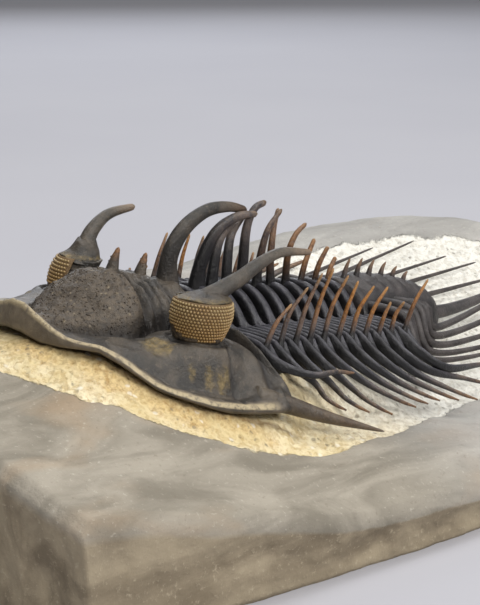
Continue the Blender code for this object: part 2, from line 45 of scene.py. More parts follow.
MM = 0.001
LEFT = -1                       # the sign of Y on the animal's left
RIGHT = 1
HEAD_UP = 5.97                  # degrees that the head end is raised in the block
RIGHT_UP = 6.46                 # degrees that the right side is raised
TURN = np.array(Euler((math.radians(RIGHT_UP), math.radians(HEAD_UP), 0.0)).to_matrix())
PLACE = np.array((-13.6105, -1.1177, 12.0))     # the animal's origin in the frame
STONE_X = (-37.0, 64.0)         # reach of the block, in the animal's frame
STONE_Y = (-27.5, 29.0)
STONE_COLUMNS = 330             # points along the top and across it, and rows down the sides
STONE_ROWS = 214
STONE_SIDE_ROWS = 13
STONE_STEP = 0.24               # the old rock stands this far over the cleared hollow
GRIT = 0.22                     # height of the grit in the cleared hollow
BANK = 0.36                     # rise of the stone against the head's rim
PLATE_EASE = 0.25               # how loosely the surface passes its points
SIDE_INWARD = 0.028             # how far the sides lean in towards the base
CHIP_DEPTH = 0.022              # depth of the breaks in the sides, both as shares of the block

# Places that the stone's surface passes: the mound under the animal, the skirt under its flanks,
# the cleared ground round it and the old rock beyond
MOUND = [
    (-15, 0, 4.5), (-9, 0, 4.4), (-3, 0, 4.4), (6, 0, 4.5), (15, 0, 4.5), (24, 0, 4.6),
    (31, 0, 4.2), (36, 0, 2.8), (-9, -9, 3.6), (-9, 9, 3.6), (0, -9.6, 4.0), (0, 9.6, 4.2),
    (9, -9.4, 4.0), (9, 9.4, 4.2), (18, -8.8, 3.9), (18, 8.8, 4.2), (26, -5.5, 3.0),
    (26, 5.5, 3.6), (32, -3, 2.4), (32, 3, 3.4),
]
SKIRT = [
    (-20.8, 0, 4.6), (-19.5, -6.2, 4.4), (-19.5, 6.2, 4.4), (-18.0, -9.0, 4.0), (-18.0, 9.0, 4.0),
    (-16.2, -11.0, 2.8), (-16.2, 11.0, 2.8), (-13.4, -13.1, 1.6), (-13.4, 13.1, 1.6),
    (-8.8, -15.0, 0.6), (-8.8, 15.0, 0.8), (-3.0, -15.6, -0.3), (-3.0, 15.6, 0.6),
    (0, -15.6, -0.8), (0, 15.6, 0.6), (9, -14.6, -1.0), (9, 14.6, 0.8), (18, -13.6, -0.9),
    (18, 13.6, 1.8), (27, -10.5, -0.6), (27, 10.5, 3.0), (34, -5.0, 0.8), (34, 6.0, 3.6), (39, 0, 2.6),
]
GROUND = [
    (-25.4, -4, 2.9), (-23, -9, 2.3), (-20, -14, 1.0), (-14.3, -17, -0.4), (-4, -18.8, -1.8),
    (3, -20, -1.5), (9, -20.5, -1.3), (17, -18, -1.0), (27, -15, -0.9), (36, -10, -0.4),
    (45, -6, 1.6), (46, 0, 3.2), (50, 8, 5.6), (46, 15, 7.0), (36, 15, 5.4), (28, 16, 4.2),
    (16, 17, 3.0), (4, 18, 1.6), (-8, 18, 1.2), (-18, 14, 1.8), (-25, 6, 2.8), (-26, 0, 3.0),
]
ROCK = [
    (-34, -10, 0.8), (-30, -20, -1.2), (-16, -26, -3.6), (2, -28, -4.6), (20, -27, -3.8),
    (38, -22, -2.6), (56, -16, -0.5), (60, 0, 4.0), (61, 13, 9.6), (52, 18, 9.0), (40, 18.5, 7.4),
    (30, 18.5, 5.8), (15, 19, 3.8), (-3, 19, 1.8), (-18, 17, 1.4), (-30, 8, 1.0),
    (-28, 22, -2.2), (-12, 29, -3.4), (5, 29, -2.0), (20, 29, 0.4), (36, 29, 3.4), (50, 29, 5.6),
    (64, 24, 7.0),
]
# Outline of the cleared ground, and the line of the head's rim along which the stone is stained,
# with a thin brown-black line of painted shade right under the rim
CLEARED = [
    (-25.2, -3.8), (-24.1, -6.3), (-21.9, -10.3), (-19.4, -12.8), (-16.6, -14.6), (-13.4, -16.2),
    (-9.1, -18.0), (-3.4, -18.8), (1.5, -19.5), (9.0, -18.7), (18.0, -16.2), (26.0, -14.4),
    (34.0, -12.0), (43.0, -8.5), (52.0, -3.5), (58.5, 3.5), (57.4, 10.1), (53.6, 12.9),
    (48.2, 15.7), (40.0, 16.8), (28.0, 17.5), (14.0, 18.5), (0.0, 19.0), (-12.0, 17.0),
    (-22.0, 11.0), (-25.8, 3.5),
]
RIM_LINE = [(-20.5, -2.0), (-19.0, -5.5), (-17.2, -9.0), (-14.6, -11.8), (-11.0, -14.0), (-6.0, -15.4),
             (-1.0, -16.2)]


def rounded(value, low, high):
    """A smooth step from 0 at low to 1 at high."""
    t = np.clip((value - low) / (high - low), 0.0, 1.0)
    return t * t * (3.0 - 2.0 * t)


def along(knots, value):
    """A value read from (place, value) knots, joined by straight lines."""
    return np.interp(value, [k[0] for k in knots], [k[1] for k in knots])


def bell(distance, width):
    """1 at a line, falling away to nothing over about twice the width."""
    return np.exp(-(distance / width) ** 2)


def curve_through(knots, count, closed=False):
    """Points spread evenly along a smooth curve through the knots."""
    knots = [np.array(k, float) for k in knots]
    if closed:
        ends = [knots[-1]] + knots + knots[:2]
    else:
        ends = [2 * knots[0] - knots[1]] + knots + [2 * knots[-1] - knots[-2]]
    t = np.linspace(0, 1, 24, endpoint=False)[:, None]
    fine = [0.5 * (2 * b + (c - a) * t + (2 * a - 5 * b + 4 * c - d) * t * t
                   + (3 * b - a - 3 * c + d) * t ** 3)
            for a, b, c, d in zip(ends, ends[1:], ends[2:], ends[3:])]
    fine = np.concatenate(fine + [knots[:1] if closed else knots[-1:]])
    run = np.concatenate([[0.0], np.cumsum(np.linalg.norm(np.diff(fine, axis=0), axis=1))])
    places = np.linspace(0.0, run[-1], count, endpoint=not closed)
    return np.stack([np.interp(places, run, fine[:, axis]) for axis in range(fine.shape[1])], axis=1)


def plate_kernel(a, b):
    """How far the plate bends at each place of b for a push at each place of a."""
    square = ((a[:, None, :] - b[None, :, :]) ** 2).sum(axis=2)
    return 0.5 * square * np.log(square + 1e-9)


def fit_plate(knots):
    """Weights of a thin plate bent through (x, y, z) points."""
    places = np.array([p[:2] for p in knots], float)
    heights = np.array([p[2] for p in knots], float)
    count = len(knots)
    table = np.zeros((count + 3, count + 3))
    table[:count, :count] = plate_kernel(places, places)
    table[:count, count] = table[count, :count] = 1.0
    table[:count, count + 1:] = places
    table[count + 1:, :count] = places.T
    table[range(count), range(count)] += PLATE_EASE
    return places, np.linalg.solve(table, np.concatenate([heights, np.zeros(3)]))


PLATE_PLACES, PLATE_WEIGHTS = fit_plate(MOUND + SKIRT + GROUND + ROCK)


def bed(x, y):
    """Height of the stone's surface at the given places."""
    x, y = np.broadcast_arrays(np.asarray(x, float), np.asarray(y, float))
    places = np.stack([x.ravel(), y.ravel()], axis=1)
    heights = plate_kernel(places, PLATE_PLACES) @ PLATE_WEIGHTS[:-3]
    heights += PLATE_WEIGHTS[-3] + places @ PLATE_WEIGHTS[-2:]
    return heights.reshape(x.shape)


def lumps(x, y, z, size, detail=2):
    """Smooth random heights, about -1 to 1, in lumps of the given size."""
    places = np.stack(np.broadcast_arrays(x, y, z), axis=-1)
    flat = [noise.fractal(Vector(p) / size, 1.0, 2.0, detail) for p in places.reshape(-1, 3)]
    return 1.4 * np.array(flat).reshape(places.shape[:-1])


def from_span(x, y, start, end):
    """Distance of each place from a straight stretch."""
    step_x, step_y = end[0] - start[0], end[1] - start[1]
    t = ((x - start[0]) * step_x + (y - start[1]) * step_y) / (step_x ** 2 + step_y ** 2)
    t = np.clip(t, 0, 1)
    return np.hypot(x - start[0] - t * step_x, y - start[1] - t * step_y)


def near_line(x, y, line):
    """Distance of each place from an open line."""
    return np.min([from_span(x, y, start, end) for start, end in zip(line, line[1:])], axis=0)


def inside_by(x, y, outline):
    """How far each place lies inside a closed outline; negative outside it."""
    spans = list(zip(outline, np.roll(outline, -1, axis=0)))
    nearest = np.min([from_span(x, y, start, end) for start, end in spans], axis=0)
    inside = np.zeros(x.shape, bool)
    for (ax, ay), (bx, by) in spans:
        if ay != by:
            inside ^= ((ay > y) != (by > y)) & (x < ax + (bx - ax) * (y - ay) / (by - ay))
    return np.where(inside, nearest, -nearest)


class Value:
    """A number that changes over a surface, written in sums like any other number."""

    def __init__(self, finish, socket):
        self.finish = finish
        self.socket = socket

    def __add__(self, other):
        return self.finish.maths("ADD", self, other)

    def __sub__(self, other):
        return self.finish.maths("SUBTRACT", self, other)

    def __mul__(self, other):
        return self.finish.maths("MULTIPLY", self, other)

    __radd__ = __add__


class Finish:
    """One material: its shader and the nodes that feed it. Sizes are in millimetres."""

    def __init__(self, name, specular=0.5):
        self.made = bpy.data.materials.new(name)
        self.made.use_nodes = True
        self.tree = self.made.node_tree
        self.shader = self.tree.nodes["Principled BSDF"]
        self.shader.inputs["Specular IOR Level"].default_value = specular
        metres = self.node("ShaderNodeTexCoord", {}, {}, "Object")
        self.place = self.node("ShaderNodeVectorMath", {"operation": "SCALE"}, {0: metres, "Scale": 1 / MM})

    def node(self, kind, settings, inputs, output=0):
        """A node with its settings, then a value or a link for each socket."""
        made = self.tree.nodes.new(kind)
        for name, setting in settings.items():
            setattr(made, name, setting)
        for name, value in inputs.items():
            self.feed(made.inputs[name], value)
        return Value(self, made.outputs[output])

    def feed(self, socket, value):
        """Link a changing value to a socket, or set a plain one on it."""
        if isinstance(value, Value):
            self.tree.links.new(value.socket, socket)
        else:
            socket.default_value = value

    def maths(self, operation, a, b):
        return self.node("ShaderNodeMath", {"operation": operation}, {0: a, 1: b})

    def step(self, value, low, high):
        """A smooth step from 0 at low to 1 at high."""
        return self.node("ShaderNodeMapRange", {"interpolation_type": "SMOOTHSTEP"},
                         {"Value": value, "From Min": low, "From Max": high})

    def clouds(self, size, detail=3.0, roughness=0.55, distortion=0.0, squash=None):
        """Soft random patches of the given size; squash stretches them along each axis."""
        place = self.place
        if squash:
            place = self.node("ShaderNodeMapping", {}, {"Vector": place, "Scale": squash})
        return self.node("ShaderNodeTexNoise", {},
                         {"Vector": place, "Scale": 1 / size, "Detail": detail,
                          "Roughness": roughness, "Distortion": distortion})

    def cells(self, size, output="Distance"):
        """Scattered grains of the given size: distance from their middles, or a tone for each."""
        return self.node("ShaderNodeTexVoronoi", {}, {"Vector": self.place, "Scale": 1 / size}, output)

    def mark(self, name):
        """A mark painted on the mesh's points."""
        return self.node("ShaderNodeAttribute", {"attribute_name": name}, {}, "Fac")

    def mix(self, share, first, second):
        """The first colour where share is 0, the second where it is 1."""
        return self.node("ShaderNodeMix", {"data_type": "RGBA"}, {0: share, 6: first, 7: second}, 2)

    def bump(self, height, depth, before=None):
        """Fine relief of the given depth, laid over any relief before it."""
        inputs = {"Height": height, "Distance": depth * MM, "Strength": 1.0}
        if before:
            inputs["Normal"] = before
        return self.node("ShaderNodeBump", {}, inputs)

    def finish(self, colour, roughness, normal):
        """The material, once its colour, roughness and relief are known."""
        self.feed(self.shader.inputs["Base Color"], colour)
        self.feed(self.shader.inputs["Roughness"], roughness)
        self.feed(self.shader.inputs["Normal"], normal)
        return self.made


def shade(red, green, blue):
    """A colour given as screen values from 0 to 255."""
    linear = [(v / 255 / 12.92) if v < 11 else ((v / 255 + 0.055) / 1.055) ** 2.4
              for v in (red, green, blue)]
    return (*linear, 1.0)


class Skin:
    """The points, faces and painted marks of a piece, gathered part by part."""

    def __init__(self):
        self.points = []
        self.faces = []
        self.marks = []

    def add(self, points, faces, **marks):
        """One part more, with the value of each painted mark on its points."""
        start = sum(len(part) for part in self.points)
        self.points.append(np.asarray(points, float))
        self.faces += [tuple(start + k for k in face) for face in faces]
        self.marks.append(marks)

    def make(self, name, material):
        """The piece, moved from the animal's frame to the block's."""
        points = np.concatenate(self.points)
        mesh = bpy.data.meshes.new(name)
        mesh.from_pydata(((points @ TURN.T + PLACE) * MM).tolist(), [], self.faces)
        for mark in sorted(set(key for marks in self.marks for key in marks)):
            values = [np.broadcast_to(marks.get(mark, 0.0), len(part)).ravel()
                      for marks, part in zip(self.marks, self.points)]
            painted = mesh.attributes.new(mark, "FLOAT", "POINT")
            painted.data.foreach_set("value", np.concatenate(values).astype(np.float32))
        shape = bmesh.new()
        shape.from_mesh(mesh)
        bmesh.ops.recalc_face_normals(shape, faces=shape.faces)
        shape.to_mesh(mesh)
        shape.free()
        mesh.shade_smooth()
        mesh.materials.append(material)
        made = bpy.data.objects.new(name, mesh)
        bpy.context.collection.objects.link(made)
        return made


def quilt(rows, columns, wrap=False):
    """Faces of a sheet of points given row by row; wrap joins each row's end to its start."""
    faces = []
    for row in range(rows - 1):
        for k in range(columns if wrap else columns - 1):
            a = row * columns + k
            after = row * columns + (k + 1) % columns
            faces.append((a, after, after + columns, a + columns))
    return faces


def settle(piece, slot, *nodes):
    """The piece belongs to the block, and stands for these solids."""
    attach(piece, "root")
    if nodes:
        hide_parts(*nodes)


def cream_stone(made, pale, fine, dots):
    """The cleared stone: cream grains, paler towards the tail, ochre along the head's rim."""
    patches = made.clouds(3.2, 4.0, 0.6)
    grains = made.step(made.cells(0.40, output="Color"), 0.55, 0.15) * 0.42
    specks = made.step(fine, 0.50, 0.34) * 0.45
    dark_dots = made.step(dots, 0.30, 0.16) * made.step(made.clouds(1.3, 2.0), 0.52, 0.60)
    pale_dots = made.step(made.cells(1.1), 0.30, 0.16) * made.step(made.clouds(1.9, 2.0), 0.5, 0.58)
    stained = made.step(made.mark("stain") * 0.7 + patches * 1.6 - 0.8, 0.25, 0.80) * 0.66
    cream = made.mix(made.step(patches, 0.36, 0.66), shade(224, 205, 158), shade(244, 232, 198))
    cream = made.mix(pale, cream, shade(240, 238, 230))
    cream = made.mix(grains, cream, made.mix(pale, shade(176, 148, 98), shade(186, 180, 166)))
    cream = made.mix(specks, cream, made.mix(pale, shade(190, 158, 100), shade(204, 197, 180)))
    ochre = made.mix(made.step(fine, 0.35, 0.65), shade(168, 128, 62), shade(222, 190, 122))
    cream = made.mix(stained, cream, ochre)
    cream = made.mix(pale_dots * 0.5, cream, shade(252, 248, 236))
    return made.mix(dark_dots * 0.55, cream, shade(112, 102, 88))


def old_rock(made, pale, fine, bands):
    """The old surface: soft grey-brown bands with a warm blush, paler behind the animal."""
    blush = made.clouds(9.0, 3.0, 0.5, 0.5, (0.5, 1.2, 1.0))
    rock = made.mix(made.step(bands, 0.30, 0.72), shade(124, 118, 106), shade(162, 155, 142))
    rock = made.mix(made.step(blush, 0.52, 0.72) * 0.35, rock, shade(178, 146, 108))
    rock = made.mix(pale * 0.8, rock, made.mix(bands, shade(130, 129, 127), shade(188, 187, 184)))
    rock = made.mix(made.step(fine, 0.58, 0.70) * 0.30, rock, shade(212, 206, 192))
    return made.mix(made.step(fine, 0.42, 0.30) * 0.40, rock, shade(116, 106, 92))


def stone_finish():
    """Matte limestone: cleared ground, old rock, broken sides and a thin line of painted shade under the
    head's rim.
    """
    made = Finish("limestone", specular=0.25)
    pale = made.mark("pale")
    fine = made.clouds(0.45, 5.0, 0.7)
    dots = made.cells(0.85)
    bands = made.clouds(5.5, 5.0, 0.55, 0.8, (0.45, 1.5, 1.0))
    cleared = made.step(made.mark("inside") + made.clouds(0.8, 4.0, 0.65) * 0.8 - 0.4, -0.12, 0.2)
    colour = made.mix(cleared, old_rock(made, pale, fine, bands), cream_stone(made, pale, fine, dots))
    broken = made.mix(made.step(bands, 0.35, 0.65), shade(126, 114, 95), shade(162, 149, 126))
    broken = made.mix(made.step(fine, 0.55, 0.70) * 0.4, broken, shade(196, 184, 160))
    colour = made.mix(made.mark("side"), colour, broken)
    # Painted shade: a thin brown-black line on the stone right under the head's rim
    colour = made.mix(made.mark("contact") * 0.75, colour, shade(84, 58, 32))
    coarse = made.bump(made.clouds(0.9, 6.0, 0.72) * (0.35 + cleared * 0.65), 0.42)
    grit = made.bump(made.step(dots, 0.05, 0.5) * (0.12 + cleared * 0.88), 0.12, coarse)
    return made.finish(colour, 0.78 + cleared * 0.17, grit)


def stone_plan(u, v):
    """A place in the block's rounded outline, u and v from -1 to 1."""
    middle_x, middle_y = sum(STONE_X) / 2, sum(STONE_Y) / 2
    half_x, half_y = (STONE_X[1] - STONE_X[0]) / 2, (STONE_Y[1] - STONE_Y[0]) / 2
    x = middle_x + half_x * u * (1 - 0.10 * v * v * (1 - 0.3 * v * u))
    y = middle_y + half_y * v * (1 - (0.22 - 0.10 * u * v) * u * u)
    return x, y


def stone_top():
    """The block's upper surface, row by row, and its painted marks."""
    t = np.linspace(-1, 1, STONE_COLUMNS)
    us = (t - 0.12 * np.sin(math.pi * (t + 0.1)) * (1 - t ** 4)) * 0.998
    u, v = np.meshgrid(us, np.linspace(-0.998, 0.998, STONE_ROWS))
    x, y = stone_plan(u, v)
    z = bed(x, y)
    inside = inside_by(x, y, curve_through(CLEARED, 90, closed=True))
    inside = inside + 0.35 * lumps(x, y, 0.0, 3.0)
    cleared = rounded(inside, -0.25, 0.3)
    z += STONE_STEP * (1 - cleared) * (1 - rounded(-inside, 4.0, 10.0))
    z += cleared * GRIT * (0.6 * lumps(x, y, 0.0, 1.3, 3) + 0.5 * lumps(x, y, 9.0, 0.55, 2))
    z += (1 - cleared) * (0.16 * lumps(x, y, 5.0, 7.0, 3) + 0.05 * lumps(x, y, 3.0, 1.2, 2))
    edge = np.maximum(abs(u), abs(v))
    z -= 1.2 * rounded(edge, 0.975, 1.0)
    from_rim = near_line(x, y, RIM_LINE)
    z += BANK * bell(from_rim, 1.3) * (1 - rounded(x, -5.0, -1.0))
    marks = {
        "inside": inside,
        "stain": bell(from_rim - 0.8, 2.4) * rounded(-x, 1.0, 8.0),
        # painted shade right under the head's rim
        "contact": bell(from_rim + 0.1, 0.5) * rounded(-x, 0.0, 3.0),
        "pale": rounded(x + 0.35 * y, -8.0, 16.0),
        "side": 0.0 * z,
    }
    return np.stack([x, y, z], axis=-1), marks


def stone():
    """The whole block: its upper surface, its broken sides and its flat base."""
    top, marks = stone_top()
    rows, columns = top.shape[:2]
    order = [(0, c) for c in range(columns)] + [(r, columns - 1) for r in range(1, rows)]
    order += [(rows - 1, c) for c in range(columns - 2, -1, -1)] + [(r, 0) for r in range(rows - 2, 0, -1)]
    border = [r * columns + c for r, c in order]
    world = top.reshape(-1, 3) @ TURN.T
    base = -PLACE[2]
    rim = world[border]
    centre = (rim.max(axis=0) + rim.min(axis=0)) / 2
    points = [world]
    faces = quilt(rows, columns)
    last = border
    for step in range(1, STONE_SIDE_ROWS + 1):
        share = step / STONE_SIDE_ROWS
        ring = rim.copy()
        ring[:, 2] += (base - rim[:, 2]) * share
        chips = np.clip(0.5 + 0.5 * lumps(*ring.T, 4.0, 4), 0, 1)
        inward = 1 - SIDE_INWARD * share - CHIP_DEPTH * chips * math.sin(math.pi * min(share, 0.85))
        ring[:, :2] = centre[:2] + (ring[:, :2] - centre[:2]) * inward[:, None]
        start = sum(len(p) for p in points)
        points.append(ring)
        row = list(range(start, start + len(border)))
        faces += [(last[k], last[k - len(row) + 1], row[k - len(row) + 1], row[k]) for k in range(len(row))]
        last = row
    faces.append(tuple(last))
    added = sum(len(p) for p in points[1:])
    on_side = {"side": 1.0, "inside": -5.0}
    marks = {name: np.concatenate([values.ravel(), np.full(added, on_side.get(name, 0.0))])
             for name, values in marks.items()}
    skin = Skin()
    skin.add(np.concatenate(points) @ TURN, faces, **marks)
    return skin.make("limestone_block", stone_finish())


settle(stone(), "matrix", "matrix")

# The head shield, one plate of fossil shell: a broad lip in front, a swollen granular middle,
# a tower under each eye that runs up into a long horn, a great spine on the neck and a spine
# at each cheek. Slate grey and satin, with a pale band along the rim, ochre where the shell is thin
# and painted shade in its furrows.

HEAD_LENGTH = 18.4
HEAD_HALF_WIDTH = 15.8
HEAD_REAR = -2.5                # X of the head's straight rear edge
FAR_NARROW = 0.09               # the right front of the head bulges less than the left by this share
HEAD_MIDDLE = (-9.5, 0.0)       # where the rings of points start that widen to the rim
HEAD_POINTS = 330               # points in a ring
HEAD_RINGS = 104                # rings over the head
RIM_RINGS = 26                  # of these, the ones packed close towards the rim
UNDER_RINGS = 26                # rings of points under it
LIP_ROWS = 9                    # rows of points down the face of the rim
LIP_BULGE = 0.16                # how far that face swells forwards
SHIELD_GAP = 0.5                # between a shield and the stone under it
GRANULES = 1100                 # how many stand on the swollen middle
GRANULE_SIZE = 0.08             # mean radius of a granule
BULB_AREA = 190.0               # square mm of head that the granules stand on
SIDES = 14                      # faces round a spine

EYE_MIDDLE = {LEFT: (-7.9, -8.9), RIGHT: (-7.4, 8.5)}
EYE_FOOT = {LEFT: 6.3, RIGHT: 6.25}     # height at which the lenses of each eye start
EYE_TOP = {LEFT: 9.8, RIGHT: 9.2}       # height at which they end, under the roof
EYE_WIDTH = {LEFT: 1.0, RIGHT: 0.8}     # width of each eye, set against the left one
EYE_STRETCH = 1.1               # length of an eye over its width
ROOF_RADIUS = 2.46              # of the roof over an eye
EYE_FROM = -8.0                 # degrees from straight back to where the lenses start
EYE_SWEEP = 220.0               # degrees round the tower that the lenses reach
EYE_LEAN = {LEFT: 0.0, RIGHT: 1.4}      # how far the top of each eye leans back
HORN_RADIUS = {LEFT: (0.95, 0.27), RIGHT: (1.0, 0.32)}      # at the foot and at the tip
HORNS = {
    LEFT: [(-8.2, -8.9, 8.6), (-7.2, -9.0, 9.8), (-5.7, -9.2, 10.7), (-4.0, -9.4, 11.6),
           (-2.0, -9.5, 12.8), (0.6, -9.5, 13.7), (4.6, -9.5, 13.6)],
    RIGHT: [(-6.6, 8.4, 7.6), (-6.0, 8.5, 8.9), (-5.4, 8.8, 10.2), (-4.2, 9.2, 11.7),
            (-2.2, 9.5, 12.9), (0.7, 9.3, 13.6)],
}
# Spines on the ridge of the back: (x, z) knots, how far the tip leans aside, radius at the foot
NECK_SPINE = ([(-3.2, 8.0), (-3.5, 11.2), (-2.4, 13.7), (0.0, 15.35), (2.8, 15.72), (5.4, 15.35)],
              -0.4, 0.95)
CHEEK_SPINES = [
    [(-5.0, -14.0, 2.2), (-2.2, -15.2, 1.7), (1.5, -16.8, 0.7), (7.2, -19.0, -0.5)],
    [(-5.0, 14.0, 2.5), (-2.2, 15.2, 2.5), (1.5, 16.4, 2.6), (6.0, 18.0, 3.2)],
]
TUBERCLES = [(-10.4, 10.2), (-6.9, 9.6)]        # x and z of the two points on the head's midline
# Where the ochre shows through the cheeks: (x, y, reach)
OCHRE_SPOTS = [
    (-12.2, -7.9, 1.1), (-12.9, -9.1, 1.0), (-12.0, -9.4, 0.7), (-11.0, -11.8, 0.4),
    (-9.6, -12.6, 0.5), (-8.5, -13.1, 0.45), (-7.7, -12.8, 0.4), (-10.9, 10.4, 1.1),
]


def rim_height(y):
    """Upper edge of the head's rim: a tall lip in front, low at the cheeks."""
    return along([(0.8, 7.95), (2.8, 7.15), (3.9, 6.6), (5.3, 6.1), (8.1, 6.0), (8.9, 5.75),
                  (10.2, 4.95), (11.5, 3.85), (12.4, 3.3), (13.3, 2.85), (14.3, 2.4), (15.8, 1.9)],
                 abs(y))


def rim_under(y):
    """Lower edge of the rim."""
    return along([(0.8, 5.45), (3.1, 5.05), (5.0, 5.15), (6.6, 5.35), (8.1, 5.45), (9.6, 4.75),
                  (10.9, 3.9), (12.1, 2.95), (13.1, 2.5), (14.0, 2.05), (15.0, 1.4), (15.8, 1.2)],
                 abs(y))


def head_edge(x, y):
    """Height of the head's edge all round: the rim in front, the neck border behind."""
    rear = along([(4.6, 6.3), (8.8, 6.5), (11.7, 5.5), (13.1, 4.4), (14.4, 3.3), (15.8, 1.8)], abs(y))
    share = rounded(x, -7.5, -3.0)
    return rim_height(y) * (1 - share) + rear * share


def glabella_half(x):
    """Half width of the swollen middle of the head."""
    return along([(-18.3, 0.3), (-18.0, 1.3), (-17.3, 2.4), (-16.3, 3.5), (-15, 4.7), (-13.9, 5.4),
                  (-13, 5.75), (-11.5, 5.7), (-10.4, 5.1), (-9.5, 4.9), (-7, 4.7), (-5, 4.6),
                  (-2, 4.6)], x)


def glabella(x, y):
    """Height of the swollen middle of the head, or nothing outside it."""
    crest = along([(-18.3, 6.2), (-18.0, 6.3), (-17.2, 6.6), (-16.2, 7.0), (-14.8, 7.9), (-13.4, 9.0),
                   (-12.0, 9.9), (-11, 10.35), (-10, 10.2), (-6.6, 9.7), (-5.4, 9.0), (-4.4, 9.2),
                   (-3.3, 9.1), (-2.4, 8.4)], x)
    share = np.clip(1 - (y / glabella_half(x)) ** 2, 0, 1)
    return np.where(share > 0, 5.6 + (crest - 5.6) * share ** 0.5, 0.0)


def head_under(x, y, share):
    """The head's lower surface: the rim overhangs, the rest follows the stone."""
    seat = bed(x, y) + SHIELD_GAP
    rim = (share > 0.95) & ((x < -6) | (abs(y) > 12.5))
    return np.where(rim, np.maximum(rim_under(y), seat), seat)


def from_eye(x, y, side):
    """Distance of each place from an eye's middle, in the eye's own oval measure."""
    middle_x, middle_y = EYE_MIDDLE[side]
    return np.hypot((x - middle_x) / EYE_STRETCH, y - middle_y) / EYE_WIDTH[side]


def head_top(x, y, share):
    """The head's upper surface; share is 0 in the middle and 1 at the rim."""
    edge = head_edge(x, y)
    low = np.minimum(edge, 5.5)
    cheek = low + (5.9 - low) * rounded(1 - share, 0.10, 0.42)
    cheek += (edge - low) * rounded(share, 0.90, 0.98)
    cheek -= 0.5 * bell(share - 0.88, 0.05)
    for side in (LEFT, RIGHT):
        swell = rounded(-from_eye(x, y, side), -4.7, -2.5)
        cheek += (EYE_FOOT[side] - 0.05 - cheek) * swell
    return np.maximum(np.maximum(cheek, glabella(x, y)), head_under(x, y, share) + 0.5)


def head_outline():
    """Rim of the head: half an oval in front, nearly straight behind."""
    front = [(HEAD_REAR - HEAD_LENGTH * math.sin(math.pi * step / 24) ** 0.9,
              HEAD_HALF_WIDTH * math.cos(math.pi * step / 24)) for step in range(25)]
    across = [(-1.6, -15.0), (-2.0, -13.5), (HEAD_REAR, -11.8), (HEAD_REAR, -9.0),
              (HEAD_REAR, -6.2), (HEAD_REAR, -4.6), (HEAD_REAR, -2.4)]
    front = [(x, y * (1 - FAR_NARROW * rounded(-x, 4.0, 12.0)) if y > 0 else y) for x, y in front]
    return front + across + [(HEAD_REAR, 0.0)] + [(x, -y) for x, y in reversed(across)]


def head_relief(x, y, share):
    """Furrows, folds and wear that are added to the head's plain form, and their marks."""
    away = abs(y)
    side = away - glabella_half(x)
    middle = side < -0.25
    furrow = bell(side, 0.42) * rounded(x, -18.2, -16.5) * rounded(-x, 2.4, 3.4)
    behind_bulb = bell(x + 9.9 - 0.04 * away, 0.46) * middle
    ribs = sum(bell(x + at - 0.08 * away, 0.26) for at in (8.9, 7.7, 6.4)) * middle * rounded(away, 0.6, 1.8)
    neck = bell(x + 5.35, 0.40) * rounded(-side, 0.0, 0.5)
    border = bell(x + 3.75 - 0.05 * away, 0.46) * rounded(away, 4.6, 6.0) * rounded(-away, -15.2, -13.6)
    ridge = bell(x + 2.85, 0.40) * rounded(away, 4.8, 6.0)
    crack = bell(x + 6.85 + 0.12 * (away - 11), 0.13) * rounded(away, 10.2, 10.8)
    crack = crack * rounded(share, 0.99, 0.96)
    fold = bell(away - 8.9 - 0.35 * (x + 13.0), 0.5) * rounded(x, -15.5, -14.0) * rounded(-x, 11.5, 12.5)
    ochre = sum(bell(np.hypot(x - ox, y - oy), reach) for ox, oy, reach in OCHRE_SPOTS)
    cheek = rounded(side, 0.2, 1.0) * rounded(-share, -0.95, -0.88)
    pits = lumps(x, y, 0.0, 0.8, 3)
    eye_groove = sum(bell(from_eye(x, y, at) - 2.42, 0.22) for at in (LEFT, RIGHT)) * (1 - middle)
    trough = bell(share - 0.905, 0.035) * rounded(-x, 10.0, 14.0)
    z = -0.45 * furrow - 1.25 * behind_bulb - 0.6 * ribs - 0.40 * trough - 0.30 * neck
    z += -0.75 * border + 0.35 * ridge - 0.22 * crack - 0.16 * fold - 0.30 * eye_groove
    z += cheek * (0.12 * lumps(x, y, 4.0, 2.2, 2) + 0.20 * np.clip(ochre, 0, 1) * pits)
    z += middle * rounded(share, 1.0, 0.93) * 0.15 * lumps(x, y, 7.0, 1.1, 3)
    z += 0.05 * rounded(share, 0.90, 0.97) * lumps(x, y, 2.0, 1.4, 2)
    bulb = rounded(-side, 0.02, 0.2) * rounded(x, -18.4, -18.0) * rounded(-x, 10.1, 10.5)
    # Painted shade makes the furrows, grooves and folds darker; the crack is drawn as a thin blackish line
    dark = np.clip(furrow + behind_bulb + 0.9 * ribs + neck + 1.1 * border + 1.3 * crack + 0.4 * fold
                   + 0.9 * eye_groove, 0, 1)
    return z, {"dark": dark, "ochre": np.clip(ochre, 0, 1), "bulb": bulb,
               "rim": rounded(share, 0.972, 0.994) * rounded(-x, 3.2, 5.0),
               "lip": rounded(share, 0.955, 0.98) * rounded(-x, 3.0, 5.0)}


def fan_out(outline, middle, shares):
    """Places from a shield's middle out to its outline, ring by ring, and the share of each."""
    shares = np.asarray(shares)[:, None]
    flat = middle + (outline[None] - middle) * shares[..., None]
    return flat[..., 0], flat[..., 1], np.broadcast_to(shares, flat.shape[:2])


